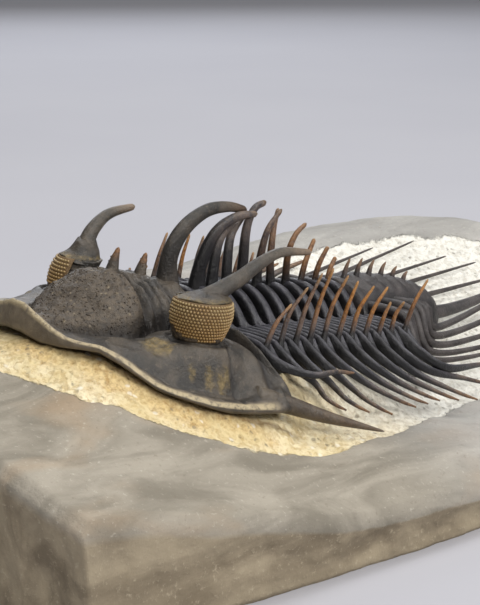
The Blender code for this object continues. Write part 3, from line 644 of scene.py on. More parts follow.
def head_shell():
    """The shield's closed skin: from the middle out to the rim, down the lip and back under."""
    outline = curve_through(head_outline(), HEAD_POINTS, closed=True)
    middle = np.array(HEAD_MIDDLE)
    shares = np.concatenate([np.linspace(0.012, 0.86, HEAD_RINGS - RIM_RINGS),
                             np.linspace(0.867, 1.0, RIM_RINGS)])
    x, y, share = fan_out(outline, middle, shares)
    z = head_top(x, y, share)
    raised, marks = head_relief(x, y, share)
    z = z + raised - 0.10 * rounded(share, 0.988, 1.0)
    rings = list(np.stack([x, y, z], axis=-1))
    painted = {name: list(values) for name, values in marks.items()}
    top_edge = z[-1]
    low_edge = head_under(outline[:, 0], outline[:, 1], np.ones(HEAD_POINTS))
    front = rounded(-outline[:, 0], 3.0, 5.5)
    # How far down the rim's face the pale band reaches, by distance from the midline
    pale_band_reach = along([(0.0, 0.04), (6.0, 0.06), (9.0, 0.18), (14.0, 0.24)], abs(outline[:, 1]))
    face = along([(0.0, 1.0), (6.0, 0.9), (9.0, 0.4), (14.0, 0.3)], abs(outline[:, 1]))
    for t in np.linspace(0, 1, LIP_ROWS + 2)[1:-1]:
        out = 1 + LIP_BULGE * math.sin(math.pi * t) ** 0.6 / HEAD_HALF_WIDTH
        place = middle + (outline - middle) * out
        rings.append(np.column_stack([place, top_edge + (low_edge - top_edge) * t]))
        values = {"dark": 0.0, "ochre": 0.0, "bulb": 0.0, "lip": front * face,
                  "rim": front * (1 - rounded(t - pale_band_reach, 0.0, 0.14) + 0.3 * rounded(t, 0.86, 0.97))}
        for name, value in values.items():
            painted[name].append(np.broadcast_to(value, HEAD_POINTS))
    x, y, share = fan_out(outline, middle, np.linspace(1.0, 0.02, UNDER_RINGS))
    rings += list(np.stack([x, y, head_under(x, y, share)], axis=-1))
    for name in painted:
        painted[name] += [np.zeros(HEAD_POINTS)] * UNDER_RINGS
    return rings, {name: np.concatenate(values) for name, values in painted.items()}


def loft(rings):
    """Points and faces of a skin over equal rings, closed at both ends."""
    sides = len(rings[0])
    faces = quilt(len(rings), sides, wrap=True)
    faces += [tuple(range(sides)), tuple((len(rings) - 1) * sides + k for k in range(sides))]
    return np.concatenate([np.asarray(ring) for ring in rings]), faces


def tube(knots, root, tip, count=26, flare=0.6, flat=1.0, power=1.3):
    """A tapering, blunt spine through the knots, wider where it grows out; also its share of
    length. Flat is the width across over the width along."""
    path = curve_through(knots, count)
    aside = np.array((0.1, 1.0, 0.0))
    angles = math.tau * np.arange(SIDES) / SIDES
    rings = []
    for place, point in enumerate(path):
        share = place / (count - 1)
        blunt = max(share - 0.96, 0.0) / 0.04
        ahead = path[min(place + 1, count - 1)] - path[max(place - 1, 0)]
        ahead = ahead / np.linalg.norm(ahead)
        aside = aside - ahead * aside.dot(ahead)
        aside = aside / np.linalg.norm(aside)
        up = np.cross(ahead, aside)
        radius = root + (tip - root) * share ** power
        radius *= 1 + flare * max(1 - share / 0.22, 0) ** 2
        radius *= math.sqrt(1 - 0.85 * blunt ** 2)
        round_it = flat * np.outer(np.cos(angles), aside) + np.outer(np.sin(angles), up)
        rings.append(point + radius * round_it)
    points, faces = loft(rings)
    return points, faces, np.repeat(np.linspace(0, 1, count), SIDES)


def ridge_knots(ridge, lean):
    """Knots of a spine on the ridge of the back; it leans aside as it rises."""
    low = ridge[0][1]
    rise = ridge[-1][1] - low
    return [(x, lean * max((z - low) / rise, 0) ** 1.5, z) for x, z in ridge]


def eye_ring(side, radius, angles, z, inward=0.0):
    """Places on an oval about an eye's middle; angles open away from the midline."""
    middle_x, middle_y = EYE_MIDDLE[side]
    width = EYE_WIDTH[side]
    back = EYE_LEAN[side] * np.clip((z - EYE_FOOT[side]) / (EYE_TOP[side] - EYE_FOOT[side]), 0, 1.2)
    x = middle_x + back + EYE_STRETCH * width * radius * np.cos(angles)
    y = middle_y + side * (width * radius * np.sin(angles) - inward)
    return np.stack(np.broadcast_arrays(x, y, z), axis=-1)


def eye_tower(side):
    """The stalk under an eye and the roof over it. Levels are (radius, height, shift inwards)."""
    foot, top = EYE_FOOT[side], EYE_TOP[side]
    levels = [(2.2, foot - 1.2, 0.2), (2.0, foot - 0.3, 0.1), (1.9, foot + 0.5, 0.0),
              (1.9, top - 0.3, 0.0), (2.1, top, 0.0), (2.4, top + 0.03, 0.0), (2.43, top + 0.1, 0.0),
              (2.25, top + 0.24, 0.02), (1.9, top + 0.42, 0.1), (1.3, top + 0.66, 0.15),
              (0.7, top + 0.84, 0.2)]
    if side == RIGHT:       # the roof of this eye runs up into its horn as a cone
        levels[-5:] = [(2.2, top + 0.1, 0.0), (2.1, top + 0.28, 0.0), (1.8, top + 0.7, 0.0),
                       (1.4, top + 1.4, 0.0), (1.0, top + 2.3, 0.0)]
    levels = curve_through(levels, 44)
    angles = math.tau * np.arange(72) / 72
    rings = []
    inner = rounded(np.cos(angles - math.radians(EYE_FROM + EYE_SWEEP / 2 + 180)), 0.5, 0.9)
    for radius, z, inward in levels:
        to_rear = 0.5 + 0.5 * radius * np.cos(angles) / ROOF_RADIUS
        lift = max(z - top - 0.14, 0) * (to_rear * 0.75 - 0.65)
        lift -= 0.55 * np.clip(-np.sin(angles), 0, 1) * radius / ROOF_RADIUS * float(z > top)
        radius = radius + 0.5 * inner * rounded(2.1 - radius, 0.0, 0.15) * float(foot < z < top)
        rings.append(eye_ring(side, radius, angles, z + lift + 0.04 * np.sin(5 * angles + 2 * z), inward))
    return loft(rings)


def shell_finish():
    """Satin slate-grey shell: granular bulb with painted highlights, ochre patches, pale rim band, painted
    shade in the furrows.
    """
    made = Finish("fossil_shell_of_head", specular=0.5)
    soft = made.clouds(2.4, 4.0, 0.6)
    fine = made.clouds(0.5, 5.0, 0.7)
    tiny = made.clouds(0.16, 3.0, 0.6)
    dark, bulb = made.mark("dark"), made.mark("bulb")
    middle = made.mix(made.step(fine, 0.36, 0.64), shade(66, 58, 49), shade(94, 83, 69))
    ochre = made.mix(made.step(fine, 0.4, 0.6), shade(100, 84, 44), shade(152, 130, 80))
    ochre_here = made.step(made.mark("ochre") * 0.8 + made.clouds(0.7, 5.0, 0.75) * 1.5 - 0.75, 0.25, 0.85)
    lip = made.mix(made.step(soft, 0.4, 0.62), shade(104, 94, 80), shade(128, 117, 100))
    amber = made.mix(made.step(fine, 0.35, 0.65), shade(92, 60, 32), shade(150, 102, 54))
    colour = made.mix(made.step(soft, 0.35, 0.65), shade(44, 41, 37), shade(82, 74, 64))
    colour = made.mix(made.step(fine, 0.55, 0.72) * 0.5, colour, shade(128, 118, 102))
    colour = made.mix(bulb, colour, middle)
    # Pale dots over the swollen middle: painted highlights on its lumps and granules
    colour = made.mix(bulb * made.step(made.cells(0.9), 0.20, 0.08) * 0.5, colour, shade(150, 136, 112))
    colour = made.mix(ochre_here * 0.65, colour, ochre)
    colour = made.mix(made.mark("lip") * 0.8, colour, lip)
    colour = made.mix(made.mark("rim") * made.step(fine, 0.30, 0.55) * 0.9, colour, shade(184, 168, 134))
    # Painted shade in the head's furrows and grooves; the eye towers and the neck spine's foot are a darker
    # shell
    colour = made.mix(dark * 0.88, colour, shade(28, 24, 22))
    colour = made.mix(made.mark("amber"), colour, amber)
    colour = made.mix(made.mark("pale") * 0.7, colour, shade(176, 164, 146))
    roughness = 0.36 + bulb * 0.12 + made.step(fine, 0.4, 0.7) * 0.16 + dark * 0.1
    relief = made.bump(tiny * (0.5 + bulb * 0.3), 0.05, made.bump(fine, 0.16))
    return made.finish(colour, roughness, relief)


class Growth:
    """A node tree that grows something on a piece. Its sizes are named inputs."""

    def __init__(self, name, *sizes):
        self.tree = bpy.data.node_groups.new(name, "GeometryNodeTree")
        face = self.tree.interface
        face.new_socket("Geometry", in_out="INPUT", socket_type="NodeSocketGeometry")
        self.sockets = {size: face.new_socket(size, in_out="INPUT", socket_type="NodeSocketFloat").identifier
                        for size in sizes}
        face.new_socket("Geometry", in_out="OUTPUT", socket_type="NodeSocketGeometry")
        self.given = self.tree.nodes.new("NodeGroupInput").outputs

    def node(self, kind, settings, inputs):
        """A node with its settings, then values or links for its sockets."""
        made = self.tree.nodes.new(kind)
        for name, setting in settings.items():
            setattr(made, name, setting)
        for name, values in inputs.items():
            for value in values if isinstance(values, list) else [values]:
                if isinstance(value, bpy.types.NodeSocket):
                    self.tree.links.new(value, made.inputs[name])
                else:
                    made.inputs[name].default_value = value
        return made.outputs

    def ball_on(self, points, rotation, scale):
        """A small smooth ball on every point, as real geometry."""
        ball = self.node("GeometryNodeMeshUVSphere", {}, {"Segments": 8, "Rings": 5, "Radius": 1.0})
        lay = self.node("GeometryNodeInstanceOnPoints", {},
                        {"Points": points, "Instance": ball["Mesh"], "Rotation": rotation, "Scale": scale})
        real = self.node("GeometryNodeRealizeInstances", {}, {"Geometry": lay[0]})
        return self.node("GeometryNodeSetShadeSmooth", {}, {0: real[0]})[0]

    def end(self, geometry, material):
        """The tree's last node gives everything the piece's material."""
        painted = self.node("GeometryNodeSetMaterial", {}, {"Geometry": geometry, "Material": material})
        out = self.tree.nodes.new("NodeGroupOutput")
        self.tree.links.new(painted[0], out.inputs[0])

    def run(self, piece, **sizes):
        """Run the tree on a piece and keep the result as its plain mesh."""
        grown = piece.modifiers.new("grow", "NODES")
        grown.node_group = self.tree
        for name, value in sizes.items():
            grown[self.sockets[name]] = value
        graph = bpy.context.evaluated_depsgraph_get()
        mesh = bpy.data.meshes.new_from_object(piece.evaluated_get(graph))
        piece.modifiers.clear()
        piece.data = mesh


def granule_tree(material):
    """Scatter granules over the marked middle of the head and join them to it."""
    growth = Growth("granules", "Amount", "Size")
    bulb = growth.node("GeometryNodeInputNamedAttribute", {"data_type": "FLOAT"}, {"Name": "bulb"})
    density = growth.node("ShaderNodeMath", {"operation": "MULTIPLY"},
                          {0: growth.given["Amount"], 1: bulb["Attribute"]})
    spread = growth.node("GeometryNodeDistributePointsOnFaces", {"distribute_method": "RANDOM"},
                         {"Mesh": growth.given["Geometry"], "Density": density[0], "Seed": 7})
    sizes = growth.node("FunctionNodeRandomValue", {"data_type": "FLOAT"}, {2: 0.45, 3: 1.25, "Seed": 3})
    scale = growth.node("ShaderNodeMath", {"operation": "MULTIPLY"}, {0: growth.given["Size"], 1: sizes[1]})
    granules = growth.ball_on(spread["Points"], spread["Rotation"], scale[0])
    joined = growth.node("GeometryNodeJoinGeometry", {}, {"Geometry": [growth.given["Geometry"], granules]})
    growth.end(joined[0], material)
    return growth


def head():
    """The shield with its eye towers, horns and spines, and the granules on its middle."""
    skin = Skin()
    rings, marks = head_shell()
    skin.add(*loft(rings), **marks)
    for side in (LEFT, RIGHT):
        points, faces = eye_tower(side)
        above = points[:, 2] - EYE_TOP[side]
        brim = rounded(above, -0.1, 0.0) * rounded(-above, -0.55, -0.15)
        skin.add(points, faces, dark=0.12, ochre=0.8 * brim)
        points, faces, share = tube(HORNS[side], *HORN_RADIUS[side], 48, flare=0.8, power=0.9)
        skin.add(points, faces, pale=rounded(share, 0.6, 1.0) * 0.3, lip=0.3 * share,
                 amber=0.35 * rounded(share, 0.7, 1.0))
    ridge, lean, root = NECK_SPINE
    points, faces, share = tube(ridge_knots(ridge, lean), root, 0.34, 56, flare=0.6, flat=0.75, power=1.5)
    skin.add(points, faces, dark=0.6 * rounded(-share, -0.5, 0.0), amber=0.2 * rounded(share, 0.7, 1.0))
    for x, z in TUBERCLES:
        knots = [(x, 0, z - 0.6), (x + 0.2, 0, z + 0.8), (x + 0.5, 0, z + 2.0)]
        points, faces, share = tube(knots, 0.66, 0.14, 18, flare=1.3)
        skin.add(points, faces, amber=0.8 * rounded(share, 0.45, 0.95), bulb=0.4)
    for knots in CHEEK_SPINES:
        points, faces, share = tube(knots, 0.95, 0.10, 44, flare=0.1, flat=0.9)
        skin.add(points, faces, lip=0.3, amber=0.2 * share)
    material = shell_finish()
    made = skin.make("head_shield", material)
    granule_tree(material).run(made, Amount=GRANULES / (BULB_AREA * MM * MM), Size=GRANULE_SIZE * MM)
    return made


settle(head(), "cephalon", "cephalon")

# The eyes: a curved wall of calcite round the outer side of each tower, set with rows of tiny
# domed lenses in a honeycomb. Golden brown, with a grey crust over the front foot of the left.

LENS_PITCH = 0.31
LENS_RADIUS = 0.13
LENS_RING = 2.75                # mean radius of the rows, from which the lenses in a row are counted
LENS_MARGIN = 4.0               # degrees of bare wall at both ends of a row
ROW_RISE = 0.866                # rows of a honeycomb lie this many pitches apart
WALL_BACK = 2.05                # radius of the wall's hidden inner side
SIDE_NAME = {LEFT: "left", RIGHT: "right"}


def eye_radius(share):
    """Distance of the lens wall from the eye's middle, from its foot to its top."""
    return along([(0.0, 2.0), (0.15, 2.2), (0.35, 2.44), (0.6, 2.62), (0.8, 2.6), (1.0, 2.44)], share)


def crust_top(side, turn):
    """How far up the wall the crust reaches, which buries the lenses under it."""
    wavy = 0.05 * np.sin(21 * turn) + 0.03 * np.sin(47 * turn + 1)
    return (0.05 + (0.26 * rounded(turn, 0.66, 0.97) if side == LEFT else 0.08)) + wavy


def eye_wall(side, material):
    """The wall between and under the lenses, closed at its back."""
    foot, rise = EYE_FOOT[side], EYE_TOP[side] - EYE_FOOT[side]
    angles = np.radians(EYE_FROM + EYE_SWEEP * np.linspace(0, 1, 90))
    levels = np.linspace(0, 1, 26)
    profile = [(WALL_BACK, 0.0)] + [(eye_radius(s), s) for s in levels] + [(WALL_BACK, 1.0)]
    rings = []
    for angle in angles:
        rings.append(np.array([eye_ring(side, radius, angle, foot + share * rise).reshape(3)
                               for radius, share in profile]))
    skin = Skin()
    points, faces = loft(rings)
    share = np.tile([s for r, s in profile], len(rings))
    turn = np.repeat(np.linspace(0, 1, len(rings)), len(profile))
    crust = rounded(crust_top(side, turn) - share, -0.06, 0.04)
    skin.add(points, faces, height=share, crust=crust)
    return skin.make("eye_wall_" + SIDE_NAME[side], material)


def lens_places(side):
    """Middle and outward direction of every lens, row by row up the wall."""
    foot, rise = EYE_FOOT[side], EYE_TOP[side] - EYE_FOOT[side]
    sweep = EYE_SWEEP - 2 * LENS_MARGIN
    rows = int(rise / (LENS_PITCH * ROW_RISE)) - 1
    columns = int(math.radians(sweep) * LENS_RING * EYE_WIDTH[side] / LENS_PITCH)
    places = []
    for row in range(rows):
        share = (row + 0.8) / (rows + 0.6)
        radius = eye_radius(share)
        z = foot + share * rise
        for column in range(columns):
            turn = (column + 0.5 + 0.5 * (row % 2)) / (columns + 0.5)
            angle = math.radians(EYE_FROM + LENS_MARGIN + sweep * turn)
            here = eye_ring(side, radius, angle, z).reshape(3)
            out = eye_ring(side, radius + 1, angle, z + 0.9 * (share - 0.3)).reshape(3)
            if share > crust_top(side, turn):
                places.append((here, out - here, share))
    return places


def lens_tree(material):
    """A domed lens on every point, turned to face out of the wall."""
    growth = Growth("lenses", "Radius")
    facing = growth.node("GeometryNodeInputNamedAttribute", {"data_type": "FLOAT_VECTOR"}, {"Name": "facing"})
    turned = growth.node("FunctionNodeAlignRotationToVector", {"axis": "Z"}, {"Vector": facing[0]})
    growth.end(growth.ball_on(growth.given["Geometry"], turned[0], growth.given["Radius"]), material)
    return growth


def eye_lenses(side, material):
    """All the lenses of one eye, as one piece."""
    places = lens_places(side)
    name = "eye_lenses_" + SIDE_NAME[side]
    points = np.array([here for here, out, share in places])
    facing = np.array([out for here, out, share in places]) @ TURN.T
    mesh = bpy.data.meshes.new(name)
    mesh.from_pydata(((points @ TURN.T + PLACE) * MM).tolist(), [], [])
    directions = mesh.attributes.new("facing", "FLOAT_VECTOR", "POINT")
    directions.data.foreach_set("vector", facing.astype(np.float32).ravel())
    heights = mesh.attributes.new("height", "FLOAT", "POINT")
    heights.data.foreach_set("value", np.array([share for here, out, share in places], np.float32))
    made = bpy.data.objects.new(name, mesh)
    bpy.context.collection.objects.link(made)
    lens_tree(material).run(made, Radius=LENS_RADIUS * MM)
    return made


def eye_finish():
    """Brown wall between the lenses, under a grey-brown crust."""
    made = Finish("eye_between_lenses", specular=0.4)
    fine = made.clouds(0.35, 4.0, 0.65)
    height = made.mark("height")
    colour = made.mix(made.step(height, 0.0, 0.9), shade(104, 78, 44), shade(108, 86, 56))
    crust = made.mix(made.step(fine, 0.35, 0.65), shade(72, 64, 56), shade(122, 106, 84))
    colour = made.mix(made.step(made.mark("crust") + fine - 0.5, 0.2, 0.5), colour, crust)
    return made.finish(colour, 0.5 + fine * 0.2, made.bump(fine, 0.12))


def lens_finish():
    """Golden, glossy calcite, a little paler up the eye."""
    made = Finish("lens_calcite", specular=0.6)
    patches = made.clouds(0.9, 3.0, 0.6)
    height = made.mark("height")
    colour = made.mix(made.step(height, 0.1, 0.95), shade(152, 120, 70), shade(158, 136, 94))
    colour = made.mix(made.step(patches, 0.46, 0.66) * 0.6, colour, shade(138, 104, 58))
    return made.finish(colour, 0.26 + patches * 0.2, made.bump(made.clouds(0.08, 2.0), 0.01))


wall_material = eye_finish()
lens_material = lens_finish()
for eye_side in (LEFT, RIGHT):
    settle(eye_wall(eye_side, wall_material), "eye", "eye_" + SIDE_NAME[eye_side])
    settle(eye_lenses(eye_side, lens_material), "eye")

# The eleven body segments. Each is one band of shell: a raised ring over the back, ribs with a
# furrow between them out to the fulcrum, then a flank that runs down and back into a side
# spine. A spine stands on the ring, and a free amber one on each fulcrum.

GAP = 0.32                      # clearance between neighbouring segments
SEGMENTS = 11
FIRST_RING = -1.3               # X of the first ring's middle
PITCH = 2.05                    # from one ring to the next
RING_HALF_WIDTH = 4.8           # of the first ring; the others are a little narrower
STATIONS = 92                   # along each side of a segment
SECTION_POINTS = 30             # over a segment's cross-section
UPRIGHT_RADIUS = (0.27, 0.12)   # of an upright, at the foot and at the tip

# Back spines from the second segment on: (x, z) knots, how far the tip leans aside, foot radius
BACK_SPINES = {
    2: ([(0.75, 7.6), (0.6, 10.2), (1.5, 13.3), (3.6, 14.8), (6.4, 15.1)], -0.9, 0.76),
    3: ([(2.8, 7.6), (2.7, 10.0), (3.2, 12.6), (5.2, 14.6)], 0.4, 0.62),
    4: ([(4.85, 7.6), (4.6, 10.4), (5.0, 12.9), (6.8, 14.8)], 0.9, 0.58),
    5: ([(6.9, 7.6), (6.5, 10.5), (6.3, 13.6), (7.0, 15.4), (8.4, 16.0)], 0.0, 0.62),
    6: ([(8.95, 7.6), (8.7, 10.2), (8.9, 13.3), (10.2, 15.4)], -0.5, 0.48),
    7: ([(11.0, 7.6), (10.5, 10.2), (10.6, 13.2), (11.1, 15.2)], 0.7, 0.46),
    8: ([(13.05, 7.6), (12.6, 10.8), (13.1, 12.8), (14.3, 13.9)], -0.3, 0.42),
    9: ([(15.1, 7.5), (15.6, 10.0), (16.6, 12.2)], 0.3, 0.36),
    10: ([(17.15, 7.4), (17.4, 9.6), (18.2, 11.5)], -0.2, 0.34),
    11: ([(19.2, 7.3), (19.4, 9.0), (20.1, 10.3)], 0.2, 0.32),
}
# Upright spines on the fulcrum: (lean back, height), first to last segment
UPRIGHTS = {
    LEFT: [(2.2, 3.6), (2.1, 5.0), (1.8, 6.2), (1.3, 6.6), (1.6, 5.8), (1.2, 5.2),
           (1.7, 4.6), (1.8, 4.4), (0.7, 2.9), (0.8, 2.8), (1.9, 4.8)],
    RIGHT: [(0.5, 0.9), (0.5, 1.0), (0.5, 1.2), (0.6, 1.4), (1.4, 4.6), (0.9, 4.4),
            (0.9, 4.2), (1.2, 3.8), (0.8, 3.0), (0.8, 2.8), (0.6, 2.4)],
}
UPRIGHT_SHIFT = {4: -0.8, 5: 0.7, 6: 0.6}     # right uprights that stand off the middle of their segment
# How amber the uprights are, first to last segment: the middle ones are the clearest
AMBER = {LEFT: [0.5, 0.25, 0.3, 0.7, 0.65, 0.9, 1.0, 0.95, 0.7, 0.7, 0.85],
         RIGHT: [0.2, 0.2, 0.2, 0.2, 0.4, 0.9, 0.15, 0.2, 0.3, 0.4, 0.4]}

# Cross-sections over a band, (across, drop below the crest), both in half widths: over the
# ring, over the ribs and over the flank. The last entry on each side runs down to the foot.
RING_SECTION = [
    (-1.0, 1.9), (-0.94, 1.6), (-0.74, 1.45), (-0.62, 0.7), (-0.46, 0.15), (-0.16, 0.0), (0.16, 0.02),
    (0.42, 0.16), (0.58, 0.6), (0.68, 1.3), (0.86, 1.6), (1.0, 1.9),
]
RIB_SECTION = [
    (-1.0, 1.3), (-0.92, 0.75), (-0.76, 0.25), (-0.55, 0.05), (-0.35, 0.18), (-0.12, 0.50),
    (0.08, 0.46), (0.28, 0.12), (0.48, 0.0), (0.72, 0.14), (0.90, 0.7), (1.0, 1.3),
]
FLANK_SECTION = [
    (-1.0, 1.5), (-0.98, 0.7), (-0.84, 0.25), (-0.6, 0.0), (-0.34, 0.06), (-0.1, 0.26), (0.12, 0.34),
    (0.34, 0.34), (0.58, 0.42), (0.8, 0.62), (0.95, 1.0), (1.0, 1.5),
]


def fulcrum(index):
    """Distance of a segment's fulcrum from the midline; index counts from 0."""
    return 11.3 - 0.085 * index


def lateral_tip(index, side):
    """Where a segment's side spine ends."""
    ring = FIRST_RING + PITCH * index
    if side == LEFT:
        reach = along([(0, 7.9), (1, 4.2), (3, 5.0), (4, 7.6), (8, 8.6), (9, 13.0), (10, 17.0)], index)
        y = along([(0, 15.0), (1, 16.2), (3, 17.6), (4, 16.6), (6, 15.8), (8, 16.8), (9, 13.8),
                   (10, 11.6)], index)
        z = along([(0, 3.9), (1, 0.9), (3, 0.5), (8, 0.5), (9, 0.6), (10, 1.6)], index)
    else:
        reach = along([(0, 5.0), (4, 8.0), (8, 10.5), (10, 14.0)], index)
        y = along([(0, 16.0), (4, 16.6), (8, 16.0), (10, 14.6)], index)
        z = along([(0, 2.6), (4, 3.7), (8, 5.2), (10, 6.2)], index)
    return np.array((ring + reach, side * y, z))


def side_route(index, side):
    """Knots of the flank beyond the fulcrum, down and back to the side spine's tip."""
    ring = FIRST_RING + PITCH * index
    edge = fulcrum(index)
    tip = lateral_tip(index, side)
    out = np.array((ring, side * edge, 5.9))
    if index == 0 and side == LEFT:
        return [out, (-0.7, -13.0, 4.9), (1.2, -14.7, 4.3), (3.9, -15.1, 4.4), tip]
    back = 0.45 if index == SEGMENTS - 1 else 0.0
    return [out, (ring + 0.6 + back, side * (edge + 1.8), 4.4),
            (ring + 1.7 + 0.1 * min(tip[0] - ring, 12) + back, side * (edge + 3.0), 2.9 + 0.15 * tip[2]),
            out + (tip - out) * 0.66 + np.array((-0.2, side * 0.8, -0.7)), tip]


def band_side(index, side):
    """Stations from the midline to a side tip: points, half width, depth, how much it is ring,
    how much flank, and its share of the flank."""
    ring = FIRST_RING + PITCH * index
    half = (PITCH - GAP) / 2
    edge = fulcrum(index)
    shrink = 1 - 0.012 * index
    wide = RING_HALF_WIDTH * (1 - 0.015 * index)
    arch = [(0.0, 8.5), (0.25, 8.42), (0.5, 7.98), (0.75, 7.15), (0.92, 6.35)]
    knots = [(ring, side * wide * share, 6.2 + (z - 6.2) * shrink) for share, z in arch]
    knots += [(ring, side * (wide + 0.45), 5.75), (ring, side * (wide + 1.3), 6.0),
              (ring, side * (edge - 2.4), 6.2), (ring, side * (edge - 0.8), 6.15)]
    route = side_route(index, side)
    path = curve_through(knots + route, 8 * STATIONS)
    start = int(np.argmin(np.linalg.norm(path - np.array(route[0]), axis=1)))
    picks = np.unique(np.concatenate([np.linspace(0, start, STATIONS // 2 + 8).astype(int),
                                      np.linspace(start, len(path) - 1, STATIONS // 2 - 8).astype(int)]))
    points = path[picks]
    flank = np.clip((picks - start) / (len(path) - 1 - start), 0, 1)
    width = along([(0, half), (0.2, 0.60 - 0.02 * index), (0.4, 0.40), (0.9, 0.20), (1, 0.09)], flank)
    depth = along([(0, 1.3), (0.2, 0.9), (0.4, 0.7), (1, 0.16)], flank)
    away = abs(points[:, 1])
    ring_share = 1 - rounded(away, wide - 0.5, wide + 0.5)
    return points, width, depth, ring_share, flank


def band(index):
    """One segment's skin: cross-sections swept from the left tip to the right one."""
    left = band_side(index, LEFT)
    right = band_side(index, RIGHT)
    points, half, depth, ring_share, flank = [np.concatenate([a[:0:-1], b]) for a, b in zip(left, right)]
    sections = [curve_through(s, SECTION_POINTS) for s in (RING_SECTION, RIB_SECTION, FLANK_SECTION)]
    ahead = np.gradient(points, axis=0)
    aside = np.column_stack([ahead[:, 1], -ahead[:, 0], 0 * ahead[:, 0]])
    aside /= np.linalg.norm(aside, axis=1)[:, None]
    up = np.cross(aside, ahead)
    up /= np.linalg.norm(up, axis=1)[:, None]
    rings, drops = [], []
    for k in range(len(points)):
        on_flank = rounded(flank[k], 0.0, 0.18)
        section = sections[0] * ring_share[k] + sections[1] * (1 - ring_share[k])
        section = section * (1 - on_flank) + sections[2] * on_flank
        across, drop = section.T
        drop = drop * half[k]
        if flank[k] < 0.02:
            foot = points[k, 2] - bed(points[k, 0], points[k, 1]) - GAP
            spot = points[k] + np.outer(across * half[k], (1, 0, 0)) - np.outer(drop, (0, 0, 1))
            ends = points[k] + np.array([(1.0 * half[k], 0, -foot), (-1.0 * half[k], 0, -foot)])
        else:
            spot = points[k] + np.outer(across * half[k], aside[k]) - np.outer(drop, up[k])
            low = max(depth[k], 1.3 * half[k])
            ends = points[k] + np.array([aside[k] * half[k] * 0.8, -aside[k] * half[k] * 0.8]) - up[k] * low
        rings.append(np.concatenate([spot, ends]))
        drops.append(np.concatenate([section[:, 1], (2.0, 2.0)]))
    share = np.repeat(flank, SECTION_POINTS + 2)
    return (*loft(rings), np.concatenate(drops), share)


def segment_finish():
    """Blue-grey glossy shell, painted black with shade down into its gaps and under it, darker at the spines'
    feet, amber on the spines.
    """
    made = Finish("fossil_shell_of_body", specular=0.55)
    soft = made.clouds(1.8, 4.0, 0.6)
    fine = made.clouds(0.35, 5.0, 0.7)
    amber, pale, deep = made.mark("amber"), made.mark("pale"), made.mark("deep")
    colour = made.mix(made.step(soft, 0.35, 0.65), shade(38, 37, 43), shade(68, 67, 74))
    colour = made.mix(made.step(fine, 0.58, 0.74) * 0.4, colour, shade(112, 108, 106))
    colour = made.mix(made.mark("brown") * made.step(soft + fine, 0.7, 1.2), colour, shade(128, 108, 88))
    # Painted shade: the lower a point lies on a band's section, the blacker, so its gaps and underside go
    # black; the spines' feet are a darker shell
    colour = made.mix(made.step(deep, 0.04, 0.62) * 0.96, colour, shade(6, 5, 6))
    glow = made.mix(made.step(fine + soft * 0.6, 0.5, 1.0), shade(94, 54, 10), shade(176, 114, 30))
    colour = made.mix(amber, colour, glow)
    colour = made.mix(pale, colour, shade(176, 136, 76))
    roughness = 0.28 + made.step(fine, 0.38, 0.68) * 0.2
    return made.finish(colour, roughness, made.bump(fine, 0.10))


def segment(index, material):
    """One band of the body with its back spine and its two uprights; index counts from 0."""
    skin = Skin()
    points, faces, drop, flank = band(index)
    # Painted shade: points lower on the section go black, less so out on the flank
    skin.add(points, faces, deep=drop * (1 - 0.6 * rounded(flank, 0.2, 0.6)),
             brown=rounded(flank, 0.35, 0.9), amber=0.30 * rounded(flank, 0.7, 1.0))
    if index + 1 in BACK_SPINES:
        ridge, lean, root = BACK_SPINES[index + 1]
        tip = 0.30 if index < 5 else 0.22
        points, faces, share = tube(ridge_knots(ridge, lean), root, tip, 44, flare=0.5, flat=0.75, power=1.6)
        brown = rounded(index, 3.5, 8.5)
        skin.add(points, faces, deep=0.7 * rounded(-share, -0.85, -0.2), brown=0.7 * share,
                 amber=brown * 0.5 * rounded(share, 0.1, 0.6), pale=0.15 * rounded(share, 0.9, 1.0))
    for side in (LEFT, RIGHT):
        lean, height = UPRIGHTS[side][index]
        y = side * (fulcrum(index) - 0.2)
        sway = 0.14 * math.sin(2.4 * index + side)
        ring = FIRST_RING + PITCH * index + (UPRIGHT_SHIFT.get(index, 0.0) if side == RIGHT else 0.0)
        knots = [(ring - 0.1, y, 5.3), (ring + 0.25 * lean, y + side * 0.1 + sway, 5.9 + 0.5 * height),
                 (ring + lean, y + side * 0.3, 5.9 + height)]
        points, faces, share = tube(knots, *UPRIGHT_RADIUS, 30, flare=0.7, flat=0.9)
        amber = 0.9 * AMBER[side][index] * rounded(share, 0.12, 0.60)
        skin.add(points, faces, deep=0.7 * (1 - rounded(share, 0.02, 0.34)), brown=0.4,
                 amber=amber, pale=0.4 * rounded(share, 0.75, 1.0))
    return skin.make("body_segment_%02d" % (index + 1), material)


body_material = segment_finish()
for number in range(SEGMENTS):
    settle(segment(number, body_material), "thorax", "thorax_segment_%02d" % (number + 1))

# The tail shield: one smooth plate with a tapering axis and five ribs a side that run on past
# its edge as long spines, a median spine behind, and a row of small points down the axis.

TAIL_FRONT = 20.45              # X of the tail's front edge
TAIL_LENGTH = 17.4
TAIL_HALF_WIDTH = 11.2
TAIL_RIBS = 5
TAIL_MIDDLE = (26.5, 0.0)       # where its rings of points start
TAIL_POINTS = 240               # points in a ring
TAIL_AXIS_HALF = [(20, 4.2), (35, 1.9), (38, 0.8)]      # (x, half width) of the raised axis
TAIL_RING_PITCH = 1.9           # from one faint ring of the axis to the next
RIB = 0.52                      # radius of a tail rib where it starts
